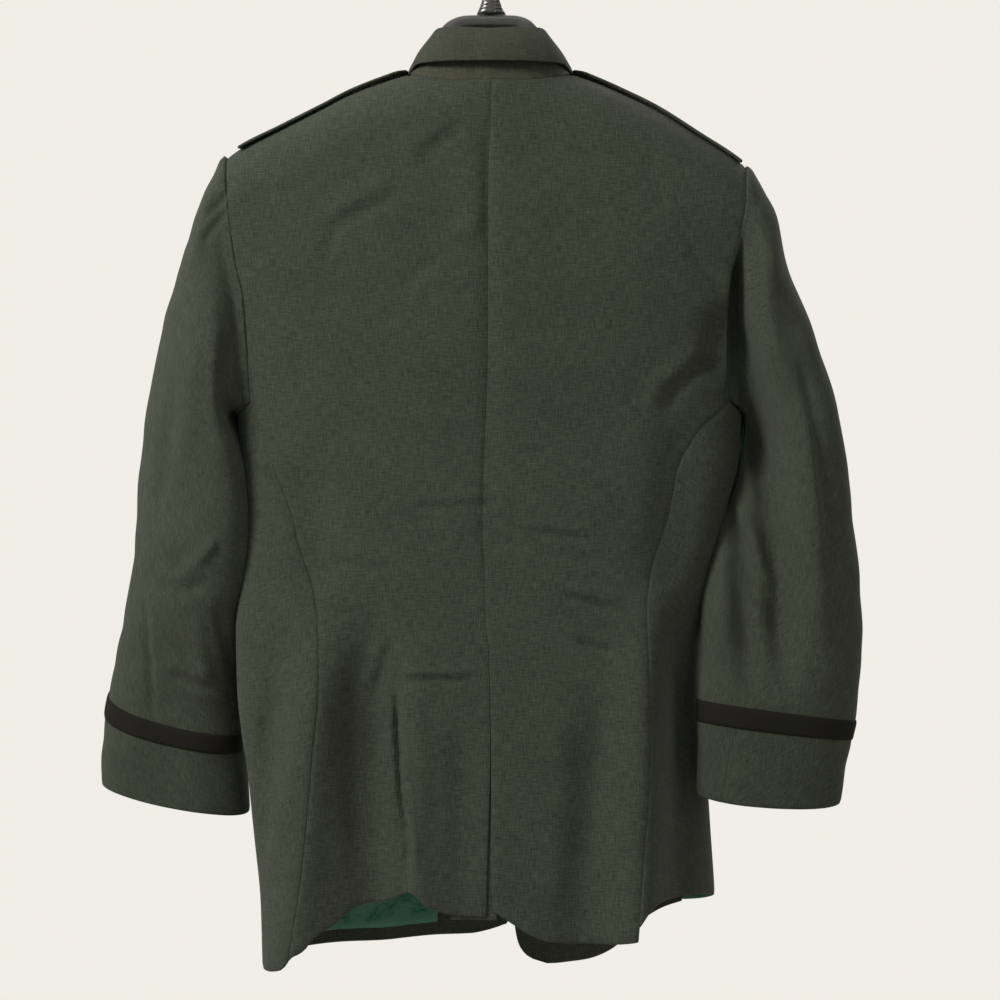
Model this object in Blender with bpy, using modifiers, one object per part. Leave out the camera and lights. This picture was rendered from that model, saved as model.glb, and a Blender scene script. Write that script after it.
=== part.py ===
"""A military dress coat hanging on a moulded hanger.

Metres, +Z up. The origin is the inside top of the hanger's hook, where a rail holds it.
+Y is the coat's back and +X is the wearer's left. Tables are in millimetres.
"""
from typing import NamedTuple

import bmesh
import bpy
import numpy as np
from mathutils import Vector

MM = 0.001

# Driving sizes of the cloth
WALL = 0.0018
LINING_WALL = 0.0010
LOOP_WALL = 0.0024
SEAM_GAP = 0.00045
SLEEVE_GAP = 0.0007
LAID_ON = 0.0006
NECK_X = 0.081
NECK_BACK_Z = -0.1405
NECK_RISE = 0.0145
NECK_CURVE = 2.6
SHOULDER_RADIUS = 0.055
UNDERARM_Z = -0.4414
WAIST_Z = -0.620
VENT_TOP_Z = -0.672
BUTTON_HEIGHTS = (-0.408, -0.512, -0.616, -0.720)
BUTTON_RADIUS = 0.0125
BUTTON_LINE_X = -0.002


class Shoulder(NamedTuple):
    """Height of the shoulder line at a distance from the centre (mm)."""

    reach: float
    left: float
    right: float


SHOULDER = (
    Shoulder(0, -88, -88),
    Shoulder(81, -126, -126),
    Shoulder(134, -148.5, -151),
    Shoulder(159, -161, -163),
    Shoulder(200, -181, -188),
    Shoulder(241, -201, -214.5),
    Shoulder(253, -210, -226),
    Shoulder(330, -262, -290),
)


class Section(NamedTuple):
    """Level section of the coat's body (mm, and how square it is)."""

    height: float
    left: float
    right: float
    back: float
    front: float
    squareness: float


BODY = (
    Section(-120, 330, 325, 55, 60, 2.5),
    Section(-210, 330, 325, 58, 62, 2.5),
    Section(-270, 312, 308, 61, 65, 2.5),
    Section(-320, 290, 285, 62, 66, 2.5),
    Section(-380, 262, 258, 61, 66, 2.5),
    Section(-441, 239, 238, 58, 64, 2.5),
    Section(-470, 235, 233, 56, 63, 2.5),
    Section(-505, 232, 228, 55, 62, 2.6),
    Section(-560, 230, 208, 53, 60, 2.8),
    Section(-610, 234, 200, 52, 60, 3.0),
    Section(-660, 239, 198, 52, 60, 3.0),
    Section(-720, 238, 202, 54, 61, 3.0),
    Section(-790, 233, 209, 56, 62, 3.0),
    Section(-860, 226, 214, 58, 63, 3.0),
    Section(-920, 220, 218, 59, 64, 3.0),
    Section(-990, 217, 220, 60, 65, 3.0),
)


class Place(NamedTuple):
    """Distance from the centre plane at a height (mm)."""

    height: float
    out: float


CENTRE_BACK = (
    Place(-140, -1.5), Place(-175, -0.6), Place(-235, 1.9), Place(-395, 1.9), Place(-557, 7.0),
    Place(-605, 4.7), Place(-650, 3.8), Place(-672, 1.5), Place(-770, 0.0), Place(-870, 2.8),
    Place(-930, 4.2),
)
VENT_GAP = (Place(-672, 0.4), Place(-760, 1.2), Place(-860, 4.0), Place(-930, 7.5))
BACK_EDGE_LEFT = (
    Place(-209, 252.5), Place(-243, 249.4), Place(-266, 247.5), Place(-290, 244.5), Place(-318, 240),
    Place(-337, 235.4), Place(-379, 232), Place(-441.4, 229), Place(-502, 205.5), Place(-550, 187.5),
    Place(-584, 178.6), Place(-614, 168.1), Place(-652, 162), Place(-712, 160.2), Place(-779, 166),
    Place(-843, 171.6), Place(-894, 177.4), Place(-940, 184.6), Place(-970, 190),
)
BACK_EDGE_RIGHT = (
    Place(-209, 246), Place(-221, 244.5), Place(-258, 242), Place(-278, 238.9), Place(-299.5, 234.3),
    Place(-323.6, 227.5), Place(-364, 224.5), Place(-441.4, 224), Place(-470, 198), Place(-509, 177),
    Place(-532, 172.8), Place(-559, 166.7), Place(-600, 153), Place(-641, 148), Place(-725, 150.8),
    Place(-798, 150), Place(-863, 145), Place(-949, 138.3),
)
FRONT_EDGE_LEFT = (
    Place(-209, 252.5), Place(-240, 245), Place(-300, 229), Place(-350, 217), Place(-400, 210.5),
    Place(-441.4, 214), Place(-505, 198), Place(-570, 184), Place(-640, 180), Place(-760, 184),
    Place(-880, 188), Place(-990, 190),
)
FRONT_EDGE_RIGHT = (
    Place(-209, 246), Place(-221, 244), Place(-250, 237), Place(-300, 224), Place(-350, 214),
    Place(-400, 208.5), Place(-441.4, 213), Place(-505, 196), Place(-570, 178), Place(-640, 172),
    Place(-760, 180), Place(-880, 186), Place(-990, 190),
)
# The wearer's left front laps over the right one
OPENING_LEFT = (
    Place(-126, 81), Place(-160, 78), Place(-230, 58), Place(-310, 29), Place(-372, 4),
    Place(-402, -14), Place(-430, -20), Place(-800, -20), Place(-900, -20), Place(-940, -19),
    Place(-953, -15.5),
)
OPENING_RIGHT = (
    Place(-126, 81), Place(-160, 78), Place(-230, 58), Place(-310, 29), Place(-372, 4),
    Place(-402, -14), Place(-430, -20), Place(-740, -20), Place(-800, -10), Place(-870, 12),
    Place(-930, 22), Place(-966, 27), Place(-982, 38), Place(-988, 56),
)
HEM_BACK_LEFT = (
    Place(-927, 3), Place(-925, 35), Place(-917, 57), Place(-904, 77), Place(-908, 86),
    Place(-912, 95), Place(-916, 117), Place(-921, 130), Place(-934, 145), Place(-946, 164),
    Place(-959, 175), Place(-965, 186), Place(-970, 191),
)
HEM_BACK_RIGHT = (
    Place(-922, 4), Place(-933, 21), Place(-943, 37), Place(-949.6, 55), Place(-952, 87),
    Place(-952, 110), Place(-949, 139),
)
HEM_FRONT_LEFT = (
    Place(-952, -15), Place(-957, 0), Place(-961, 20), Place(-962, 50), Place(-964, 80),
    Place(-967, 110), Place(-968, 150), Place(-970, 192),
)
HEM_FRONT_RIGHT = (
    Place(-986, 30), Place(-988, 54), Place(-985, 80), Place(-981, 100), Place(-972, 120),
    Place(-949, 147), Place(-934, 170), Place(-925, 192),
)


class SideHem(NamedTuple):
    """Hem height of a side panel from its back seam, 0, to its front seam, 1 (mm)."""

    share: float
    left: float
    right: float


SIDE_HEM = (
    SideHem(0, -970, -936), SideHem(0.07, -974, -915), SideHem(0.3, -978, -913),
    SideHem(0.6, -976, -918), SideHem(1, -970, -925),
)


class Fold(NamedTuple):
    """A ridge, or a trough where its depth is under zero, along a line seen from behind (mm)."""

    top_x: float
    top_z: float
    low_x: float
    low_z: float
    width: float
    depth: float


BACK_FOLDS = (
    Fold(158, -640, 193, -1060, 36, 15),
    Fold(118, -640, 122, -1010, 26, -8),
    Fold(88, -690, 80, -1000, 8, -6),
    Fold(0, -160, 2, -640, 9, -2),
    Fold(-150, -620, -136, -1060, 32, 13),
    Fold(-176, -640, -172, -1020, 20, -16),
    Fold(-224, -570, -224, -1060, 38, -40),
    Fold(-226, -345, -205, -430, 16, -8),
    Fold(-186, -450, -160, -640, 24, -4),
    Fold(180, -480, 150, -640, 26, -5),
)
FRONT_FOLDS = (
    Fold(150, -640, 160, -1050, 34, 6),
    Fold(90, -720, 95, -1060, 26, -5),
    Fold(-150, -640, -160, -1050, 34, 6),
    Fold(-92, -700, -84, -1060, 26, -5),
    Fold(200, -300, 150, -420, 22, -4),
    Fold(-196, -300, -150, -430, 22, -4),
)
FOLD_FADE = 0.28


class Ring(NamedTuple):
    """Section of a sleeve, outer and inner point seen from behind (mm).

    The twist carries its inner end backwards and the dip lowers its back.
    """

    outer_x: float
    outer_z: float
    inner_x: float
    inner_z: float
    depth: float
    centre: float
    twist: float
    dip: float


SLEEVE_LEFT = (
    Ring(261.5, -217, 244.0, -457, 51, -2, 0, 0),
    Ring(272, -235.5, 245.5, -463, 54, -3, 2, 0),
    Ring(284.5, -266, 245.0, -471, 56, -4, 5, 0),
    Ring(294, -297, 242.5, -481, 56, -5, 8, 0),
    Ring(305, -337, 239.5, -494, 55, -6, 12, 0),
    Ring(315, -376, 236.5, -510, 54, -7, 15, 0),
    Ring(323.5, -415, 235.0, -530, 53, -8, 18, 0),
    Ring(331.5, -450, 233.5, -553, 52, -10, 20, 0),
    Ring(338.5, -490, 233.5, -580, 51, -12, 20, 0),
    Ring(343, -535, 235.5, -610, 49, -16, 18, 2),
    Ring(347, -595, 240.5, -645, 47, -24, 12, 5),
    Ring(358, -655, 243.0, -696, 45, -35, 4, 9),
    Ring(367, -697, 242.0, -730, 42, -42, 0, 13),
    Ring(372, -724.5, 240.0, -757, 40, -45, 0, 14),
    Ring(375, -744.5, 239.0, -776.5, 38, -46, 0, 13),
    Ring(378, -780, 237.0, -810, 35, -47, 0, 11),
    Ring(379.5, -813, 235.0, -841, 31, -48, 0, 9),
)
SLEEVE_RIGHT = (
    Ring(254.5, -227, 243.0, -457, 51, 0, 0, 0),
    Ring(263, -242, 244.5, -463, 54, 1, 0, 0),
    Ring(273, -263, 244.0, -471, 56, 2, -3, 0),
    Ring(284, -304, 242.5, -481, 56, 3, -6, 0),
    Ring(298, -341, 240.0, -494, 55, 4, -10, 0),
    Ring(309.5, -371, 236.5, -508, 54, 5, -15, 0),
    Ring(321, -409, 231.0, -525, 53, 6, -20, 0),
    Ring(332.5, -452, 223.0, -548, 52, 8, -24, 0),
    Ring(341.5, -501, 213.5, -575, 50, 10, -24, 0),
    Ring(347, -555, 207.5, -606, 48, 12, -16, 2),
    Ring(355, -618, 204.0, -646, 45, 14, -6, 3),
    Ring(357.5, -678, 200.5, -688, 42, 16, 0, 2),
    Ring(352, -722, 198.5, -708, 40, 17, 2, 0),
    Ring(347.5, -746, 198.0, -725, 38, 18, 4, 0),
    Ring(343.5, -764, 197.5, -745, 36, 18, 5, 1),
    Ring(339, -793, 197.0, -778, 33, 18, 6, 5),
    Ring(334, -823, 196.5, -813, 29, 18, 6, 8),
)
BRAID_RINGS = (15, 16)
SLEEVE_FOLDS_LEFT = (
    Fold(262, -300, 255, -470, 12, 3),
    Fold(300, -640, 330, -860, 34, -6),
    Fold(270, -585, 345, -620, 12, -3),
)
SLEEVE_FOLDS_RIGHT = (
    Fold(-238, -290, -256, -480, 17, -18),
    Fold(-250, -420, -290, -680, 19, -19),
    Fold(-272, -270, -330, -500, 20, 5),
    Fold(-226, -460, -262, -620, 14, 5),
)


class Seam(NamedTuple):
    """Angle of a sleeve seam at a share of the sleeve's length (degrees, 0 outside, 90 behind)."""

    share: float
    left_hind: float
    right_hind: float
    fore: float


SLEEVE_SEAMS = (
    Seam(0, 75, 80, -140), Seam(0.35, 45, 92, -135), Seam(0.7, 30, 108, -130), Seam(1, 62, 132, -130),
)
BRAID_THICK = 0.0012


class CollarSection(NamedTuple):
    """Neck seam, roll and fall edge of the collar from the centre back to its front end (mm)."""

    share: float
    seam_x: float
    seam_y: float
    seam_z: float
    roll_x: float
    roll_y: float
    roll_z: float
    edge_x: float
    edge_y: float
    edge_z: float


COLLAR = (
    CollarSection(0.00, 0, 53.6, -140.0, 0, 41, -91, 0, 60.5, -124.5),
    CollarSection(0.16, 30, 50.0, -139.2, 25, 37, -88.5, 31, 57, -124.5),
    CollarSection(0.32, 56, 39.0, -133.8, 43, 24, -87, 58, 45, -124.5),
    CollarSection(0.48, 72, 23.0, -127.9, 54, 7, -93, 76, 24, -124),
    CollarSection(0.62, 78.5, 1.5, -124.2, 61, -8, -102, 86, 2, -122.5),
    CollarSection(0.80, 76.5, -32, -132.5, 70, -34, -121, 98, -43.5, -146.3),
    CollarSection(0.90, 76, -45, -143.5, 73, -47, -136, 110, -52.2, -160.3),
    CollarSection(1.00, 75, -54, -156, 75, -57.5, -152, 120, -59.5, -175),
)
LAPEL_OUTER = (
    Place(-160, 118), Place(-198, 133), Place(-212, 132), Place(-240, 122), Place(-290, 94),
    Place(-335, 58), Place(-365, 24), Place(-377, 6),
)
CLOTH_GREEN = (0.050, 0.056, 0.041)
UNDER_GREEN = (0.036, 0.038, 0.028)
BRAID_BLACK = (0.014, 0.014, 0.011)
LINING_GREEN = (0.020, 0.075, 0.050)
HANGER_BLACK = (0.012, 0.012, 0.012)
BUTTON_BRASS = (0.60, 0.43, 0.17)


def column(rows, name, scale=MM):
    """One named column of a table as metres."""
    return np.array([getattr(row, name) for row in rows], float) * scale


def smooth(keys, values, at):
    """Monotone cubic through a table, which never swings past its rows."""
    order = np.argsort(keys)
    keys = keys[order]
    values = values[order]
    step = np.diff(keys)
    slope = np.diff(values) / step
    tangent = np.concatenate([slope[:1], np.zeros(len(keys) - 2), slope[-1:]])
    same = slope[:-1] * slope[1:] > 0
    before = 2 * step[1:] + step[:-1]
    after = step[1:] + 2 * step[:-1]
    safe_a = np.where(same, slope[:-1], 1.0)
    safe_b = np.where(same, slope[1:], 1.0)
    mean = (before + after) / (before / safe_a + after / safe_b)
    tangent[1:-1] = np.where(same, mean, 0.0)
    at = np.clip(at, keys[0], keys[-1])
    cell = np.clip(np.searchsorted(keys, at) - 1, 0, len(step) - 1)
    t = (at - keys[cell]) / step[cell]
    rise = values[cell] * (1 + 2 * t) * (1 - t) ** 2 + values[cell + 1] * t * t * (3 - 2 * t)
    bend = step[cell] * (tangent[cell] * t * (1 - t) ** 2 - tangent[cell + 1] * t * t * (1 - t))
    return rise + bend


def ease(value):
    """Smooth step from 0 to 1."""
    value = np.clip(value, 0, 1)
    return value * value * (3 - 2 * value)


def place(rows, z):
    """Distance from the centre plane of a line at a height."""
    return smooth(column(rows, "height"), column(rows, "out"), z)


def hem(rows, x):
    """Hem height at a distance from the centre plane."""
    return smooth(column(rows, "out"), column(rows, "height"), x)


def shoulder_height(x):
    """Height of the shoulder line, carried on above the neck hole."""
    reach = column(SHOULDER, "reach")
    left = smooth(reach, column(SHOULDER, "left"), np.abs(x))
    right = smooth(reach, column(SHOULDER, "right"), np.abs(x))
    return np.where(x >= 0, left, right)


def top_height(x):
    """Upper edge of the back: the neck seam, then the shoulder seam."""
    neck = NECK_BACK_Z + NECK_RISE * (np.minimum(np.abs(x), NECK_X) / NECK_X) ** NECK_CURVE
    return np.where(np.abs(x) < NECK_X, neck, shoulder_height(x))


def section(x, z):
    """Half width, back depth, front depth and squareness of the body at a point."""
    height = column(BODY, "height")
    left = smooth(height, column(BODY, "left"), z)
    right = smooth(height, column(BODY, "right"), z)
    back = smooth(height, column(BODY, "back"), z)
    front = smooth(height, column(BODY, "front"), z)
    squareness = smooth(height, column(BODY, "squareness", 1.0), z)
    return np.where(x >= 0, left, right), back, front, squareness


def relief(x, z, folds):
    """Sum of the folds at points seen from behind."""
    total = np.zeros_like(x)
    for fold in folds:
        run_x = (fold.low_x - fold.top_x) * MM
        run_z = (fold.low_z - fold.top_z) * MM
        length = np.hypot(run_x, run_z)
        off_x = x - fold.top_x * MM
        off_z = z - fold.top_z * MM
        along = (off_x * run_x + off_z * run_z) / length ** 2
        across = (off_x * run_z - off_z * run_x) / length
        fade = ease(along / FOLD_FADE) * ease((1 - along) / FOLD_FADE)
        total += fold.depth * MM * fade * np.exp(-(across / (fold.width * MM)) ** 2)
    return total


def fold_body(x, y, z):
    """Body points with the back's and the front's folds."""
    behind = ease((y + 0.045) / 0.050)
    ahead = ease(-y / 0.030)
    moved = y + behind * relief(x, z, BACK_FOLDS) - ahead * relief(x, z, FRONT_FOLDS)
    return np.stack([x, moved, z], -1)


def body_point(x, z, side):
    """Point of the coat's outer surface, side 1 for the back and -1 for the front."""
    half, back, front, squareness = section(x, z)
    reach = np.clip(np.abs(x) / half, 0, 1)
    depth = back if side > 0 else -front
    drop = np.clip((shoulder_height(x) - z) / SHOULDER_RADIUS, 0, 1)
    round_over = np.sqrt(1 - (1 - drop) ** 2)
    return fold_body(x, depth * (1 - reach ** squareness) ** (1 / squareness) * round_over, z)


def ring_angle(x, z):
    """Angle round the body, from the centre back, of a point at a distance from the centre."""
    half, _, _, squareness = section(x, z)
    return np.arcsin(np.clip(np.abs(x) / half, 0, 1) ** (squareness / 2))


def side_point(angle, z, sign):
    """Body point at an angle from the centre back, 90 degrees at the side."""
    half, back, front, squareness = section(np.full_like(z, sign), z)
    x = sign * half * np.abs(np.sin(angle)) ** (2 / squareness)
    turn = np.cos(angle)
    y = np.where(turn >= 0, back, front) * np.sign(turn) * np.abs(turn) ** (2 / squareness)
    return fold_body(x, y, z)


def moved_out(surface, first, second, distance):
    """Points of a surface moved along its outward normal."""
    step = 0.0008
    centre = surface(first, second)
    along = surface(first + step, second) - surface(first - step, second)
    across = surface(first, second + step) - surface(first, second - step)
    normal = np.cross(along, across)
    normal /= np.linalg.norm(normal, axis=-1, keepdims=True)
    outward = centre * np.array([0.25, 1.0, 0.0])
    facing = np.sign(np.sum(normal * outward, axis=-1, keepdims=True))
    if np.ndim(distance):
        distance = distance[..., None]
    return centre + normal * facing * distance


def finish(name, colour, roughness, metallic=0.0):
    """Material of one sub-part."""
    material = bpy.data.materials.new(name)
    material.use_nodes = True
    shader = material.node_tree.nodes["Principled BSDF"]
    shader.inputs["Base Color"].default_value = (*colour, 1.0)
    shader.inputs["Roughness"].default_value = roughness
    shader.inputs["Metallic"].default_value = metallic
    return material


def add_object(name, mesh, colour, roughness, metallic=0.0):
    """Object in the coat's collection with its own material."""
    mesh.materials.append(finish(name + "_finish", colour, roughness, metallic))
    part = bpy.data.objects.new(name, mesh)
    bpy.data.collections["military_coat"].objects.link(part)
    mesh.shade_smooth()
    return part


def cloth(name, points, colour, wall=WALL, keep=None, closed=False, outward=None):
    """Cloth panel from a grid of outer points, with a Solidify wall on its inner side."""
    rows, cols = points.shape[:2]
    build = bmesh.new()
    grid = [[build.verts.new(points[r, c]) for c in range(cols)] for r in range(rows)]
    last = cols if closed else cols - 1
    for r in range(rows - 1):
        for c in range(last):
            if keep is None or keep[r, c]:
                d = (c + 1) % cols
                build.faces.new((grid[r][c], grid[r + 1][c], grid[r + 1][d], grid[r][d]))
    loose = [v for v in build.verts if not v.link_faces]
    bmesh.ops.delete(build, geom=loose, context="VERTS")
    build.normal_update()
    inside = points.mean(axis=(0, 1)) * np.array([1, 0, 1]) if outward is None else outward
    vote = sum((f.calc_center_median() - Vector(inside)).dot(f.normal) for f in build.faces)
    if vote < 0:
        bmesh.ops.reverse_faces(build, faces=build.faces)
    mesh = bpy.data.meshes.new(name)
    build.to_mesh(mesh)
    build.free()
    part = add_object(name, mesh, colour, 0.9)
    shell = part.modifiers.new("wall", "SOLIDIFY")
    shell.thickness = wall
    shell.offset = -1.0
    shell.use_quality_normals = True
    return part


SHOULDER_DROPS = (0.0, 0.0002, 0.0027, 0.0090, 0.0196, 0.0360, 0.0550)
CHEST_STEPS = 5
WAIST_STEPS = 5
SKIRT_SHARES = (.12, .24, .36, .48, .60, .72, .84, .93, .975, 1)


def panel_heights(top, low):
    """Heights of a panel's rows from its top edge to its hem, shared by panels that meet."""
    rows = [top - drop for drop in SHOULDER_DROPS]
    chest = top - SHOULDER_DROPS[-1]
    rows += [chest + (UNDERARM_Z - chest) * i / CHEST_STEPS for i in range(1, CHEST_STEPS + 1)]
    return rows + lower_heights(np.full_like(top, UNDERARM_Z), low)


def lower_heights(top, low):
    """Heights of rows from the underarm to the hem."""
    rows = [top + (WAIST_Z - top) * i / WAIST_STEPS for i in range(1, WAIST_STEPS + 1)]
    return rows + [WAIST_Z + (low - WAIST_Z) * share for share in SKIRT_SHARES]


def solve_panel(shares, inner, outer, hem_rows, sign, top=top_height):
    """Grid whose rows follow the top edge and the hem, found by repeating the two relations."""
    shares = np.array(shares)
    x_top = inner(np.full_like(shares, -0.2)) * (1 - shares) + outer(np.full_like(shares, -0.2)) * shares
    x_low = x_top.copy()
    for _ in range(30):
        z_top = top(x_top)
        z_low = hem(hem_rows, x_low * sign)
        x_top = inner(z_top) * (1 - shares) + outer(z_top) * shares
        x_low = inner(z_low) * (1 - shares) + outer(z_low) * shares
    z = np.array(panel_heights(z_top, z_low))
    x = inner(z) * (1 - shares) + outer(z) * shares
    return x, z


BACK_SHARES_LEFT = (0, .010, .09, .18, .27, .32, .40, .465, .50, .55, .64, .76, .88, .990, 1)
BACK_SHARES_RIGHT = (0, .010, .11, .22, .32, .42, .54, .66, .78, .89, .990, 1)
FRONT_SHARES = (0, .010, .12, .24, .36, .48, .60, .72, .86, .990, 1)
SIDE_SHARES = (0, .02, .2, .4, .6, .8, .98, 1)
UNDERLAP_WIDTH = 0.032


def build_back(sign):
    """Back panel of one side; the right one carries the vent's underlap."""
    half_gap = SEAM_GAP / 2
    rows = BACK_EDGE_LEFT if sign > 0 else BACK_EDGE_RIGHT

    def inner(z):
        opened = np.where(z < VENT_TOP_Z, place(VENT_GAP, z), SEAM_GAP)
        return place(CENTRE_BACK, z) + (half_gap if sign > 0 else half_gap - opened)

    def outer(z):
        return sign * (place(rows, z) - half_gap)

    shares = BACK_SHARES_LEFT if sign > 0 else BACK_SHARES_RIGHT
    hem_rows = HEM_BACK_LEFT if sign > 0 else HEM_BACK_RIGHT
    x, z = solve_panel(shares, inner, outer, hem_rows, sign)
    points = body_point(x, z, 1)
    points[0, :, 1] = np.maximum(points[0, :, 1], half_gap)
    name = "back_left" if sign > 0 else "back_right"
    if sign > 0:
        cloth(name, points, CLOTH_GREEN)
        return points
    under = WALL + 2 * LAID_ON
    vent = z[:, :1] < VENT_TOP_Z
    seam_x = np.where(vent, place(CENTRE_BACK, z[:, :1]) - 0.0008, x[:, :1])
    seam = body_point(seam_x, z[:, :1], 1)
    seam[:, :, 1] -= np.where(vent, under, 0.0)
    points[:, 0, 0] -= np.where(vent[:, 0], 0.004, 0.0012)
    lap_x = place(CENTRE_BACK, z[:, :1]) + np.where(vent, UNDERLAP_WIDTH, 0.0)
    lap = body_point(lap_x, z[:, :1], 1)
    lap[:, :, 1] -= under
    middle = (lap + seam) / 2
    points = np.concatenate([lap, middle, seam, points], axis=1)
    keep = np.ones((points.shape[0] - 1, points.shape[1] - 1), bool)
    keep[:, :2] = vent[:-1]
    cloth(name, points, CLOTH_GREEN, keep=keep)
    return points[:, 3:]


def build_side(sign):
    """Side panel from the back seam round to the front seam, under the arm."""
    shares = np.array(SIDE_SHARES)
    back_rows = BACK_EDGE_LEFT if sign > 0 else BACK_EDGE_RIGHT
    half_gap = SEAM_GAP / 2
    under = UNDERARM_Z - 0.012 * np.sin(np.pi * shares)
    low = smooth(column(SIDE_HEM, "share", 1.0), column(SIDE_HEM, "left" if sign > 0 else "right"), shares)
    z = np.array([under] + lower_heights(under, low))
    start = ring_angle(sign * (place(back_rows, z) + half_gap), z)
    front_rows = FRONT_EDGE_LEFT if sign > 0 else FRONT_EDGE_RIGHT
    end = np.pi - ring_angle(sign * (place(front_rows, z) + half_gap), z)
    angle = start + (end - start) * shares
    points = side_point(angle, z, sign)
    cloth("side_left" if sign > 0 else "side_right", points, CLOTH_GREEN)
    return points


def front_opening(sign, z):
    """Edge of a front: the roll line above the top button and the lapped edge below."""
    return sign * place(OPENING_LEFT if sign > 0 else OPENING_RIGHT, z)


def front_surface(sign):
    """Outer surface of a front; the right one runs under the left one where they lap."""

    def surface(x, z):
        points = body_point(x, z, -1)
        if sign < 0:
            under = ease((x + 0.045) / 0.020) * ease((-0.30 - z) / 0.06)
            points[..., 1] += (WALL + 2 * LAID_ON) * under
        return points

    return surface


def build_front(sign):
    """Front panel of one side."""
    half_gap = SEAM_GAP / 2

    def inner(z):
        return front_opening(sign, z)

    front_rows = FRONT_EDGE_LEFT if sign > 0 else FRONT_EDGE_RIGHT

    def outer(z):
        return sign * (place(front_rows, z) - half_gap)

    hem_rows = HEM_FRONT_LEFT if sign > 0 else HEM_FRONT_RIGHT
    x, z = solve_panel(FRONT_SHARES, inner, outer, hem_rows, sign, shoulder_height)
    points = front_surface(sign)(x, z)
    points[0, :, 1] = np.minimum(points[0, :, 1], -half_gap)
    cloth("front_left" if sign > 0 else "front_right", points, CLOTH_GREEN)
    return points, x, z


LAPEL_TOP = (-0.160, -0.198)
LAPEL_LOW = -0.377
LAPEL_ROLL = 0.0015


def build_lapel(sign):
    """Lapel that rolls back over a front."""
    shares = np.array((0, .1, .35, .65, 1.0))
    heights = np.linspace(0, 1, 12)[:, None]
    top = LAPEL_TOP[0] + (LAPEL_TOP[1] - LAPEL_TOP[0]) * shares
    low = np.full_like(shares, LAPEL_LOW)
    z = top + (low - top) * heights
    roll = front_opening(sign, z) * sign + 0.001
    outer = np.maximum(place(LAPEL_OUTER, z), roll + 0.003)
    x = sign * (roll + (outer - roll) * shares)
    lift = WALL + 2 * LAID_ON + LAPEL_ROLL * np.sin(np.pi * shares) + 0 * z
    points = moved_out(front_surface(sign), x, z, lift)
    cloth("lapel_left" if sign > 0 else "lapel_right", points, CLOTH_GREEN)


def collar_curves(count):
    """Neck seam, roll and fall edge of the whole collar, from right front to left front."""
    share = np.linspace(-1, 1, count)
    keys = column(COLLAR, "share", 1.0)
    curves = []
    for line in ("seam", "roll", "edge"):
        axes = [smooth(keys, column(COLLAR, f"{line}_{axis}"), np.abs(share)) for axis in "xyz"]
        axes[0] = axes[0] * np.sign(share)
        curves.append(np.stack(axes, -1))
    return curves


COLLAR_COLUMNS = 25
COLLAR_CENTRE = (0.0, -0.004, -0.12)
STAND_IN = 0.0035
STAND_DOWN = 0.004
FALL_BULGE = 0.0035


def build_collar():
    """Stand against the neck and the fall that rolls down over it."""
    seam, roll, edge = collar_curves(COLLAR_COLUMNS)
    steps = np.array((0, .08, .5, .92, 1))[:, None, None]
    centre = np.array(COLLAR_CENTRE)
    inward = roll * np.array([1, 1, 0])
    inward /= np.linalg.norm(inward, axis=-1, keepdims=True)
    stand_top = roll - inward * STAND_IN - np.array([0, 0, STAND_DOWN])
    stand = seam + (stand_top - seam) * steps
    fall = roll + (edge - roll) * steps
    outward = edge * np.array([1, 1, 0])
    outward /= np.linalg.norm(outward, axis=-1, keepdims=True)
    fall = fall + outward * FALL_BULGE * np.sin(np.pi * steps)
    cloth("collar_stand", stand, UNDER_GREEN, outward=centre)
    cloth("collar_fall", fall, CLOTH_GREEN, outward=centre)


def armhole(back, side, front):
    """Closed armhole edge from the shoulder tip down the back, under the arm and up the front."""
    upper = [0, 2, 3, 4, 5, 6] + list(range(7, 7 + CHEST_STEPS))
    behind = back[upper, -1]
    under = side[0, 2:-2]
    ahead = front[upper[1:], -1][::-1]
    tip = behind[0] * np.array([1, 0, 1])
    return np.concatenate([tip[None], behind[1:], under, ahead])


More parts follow.
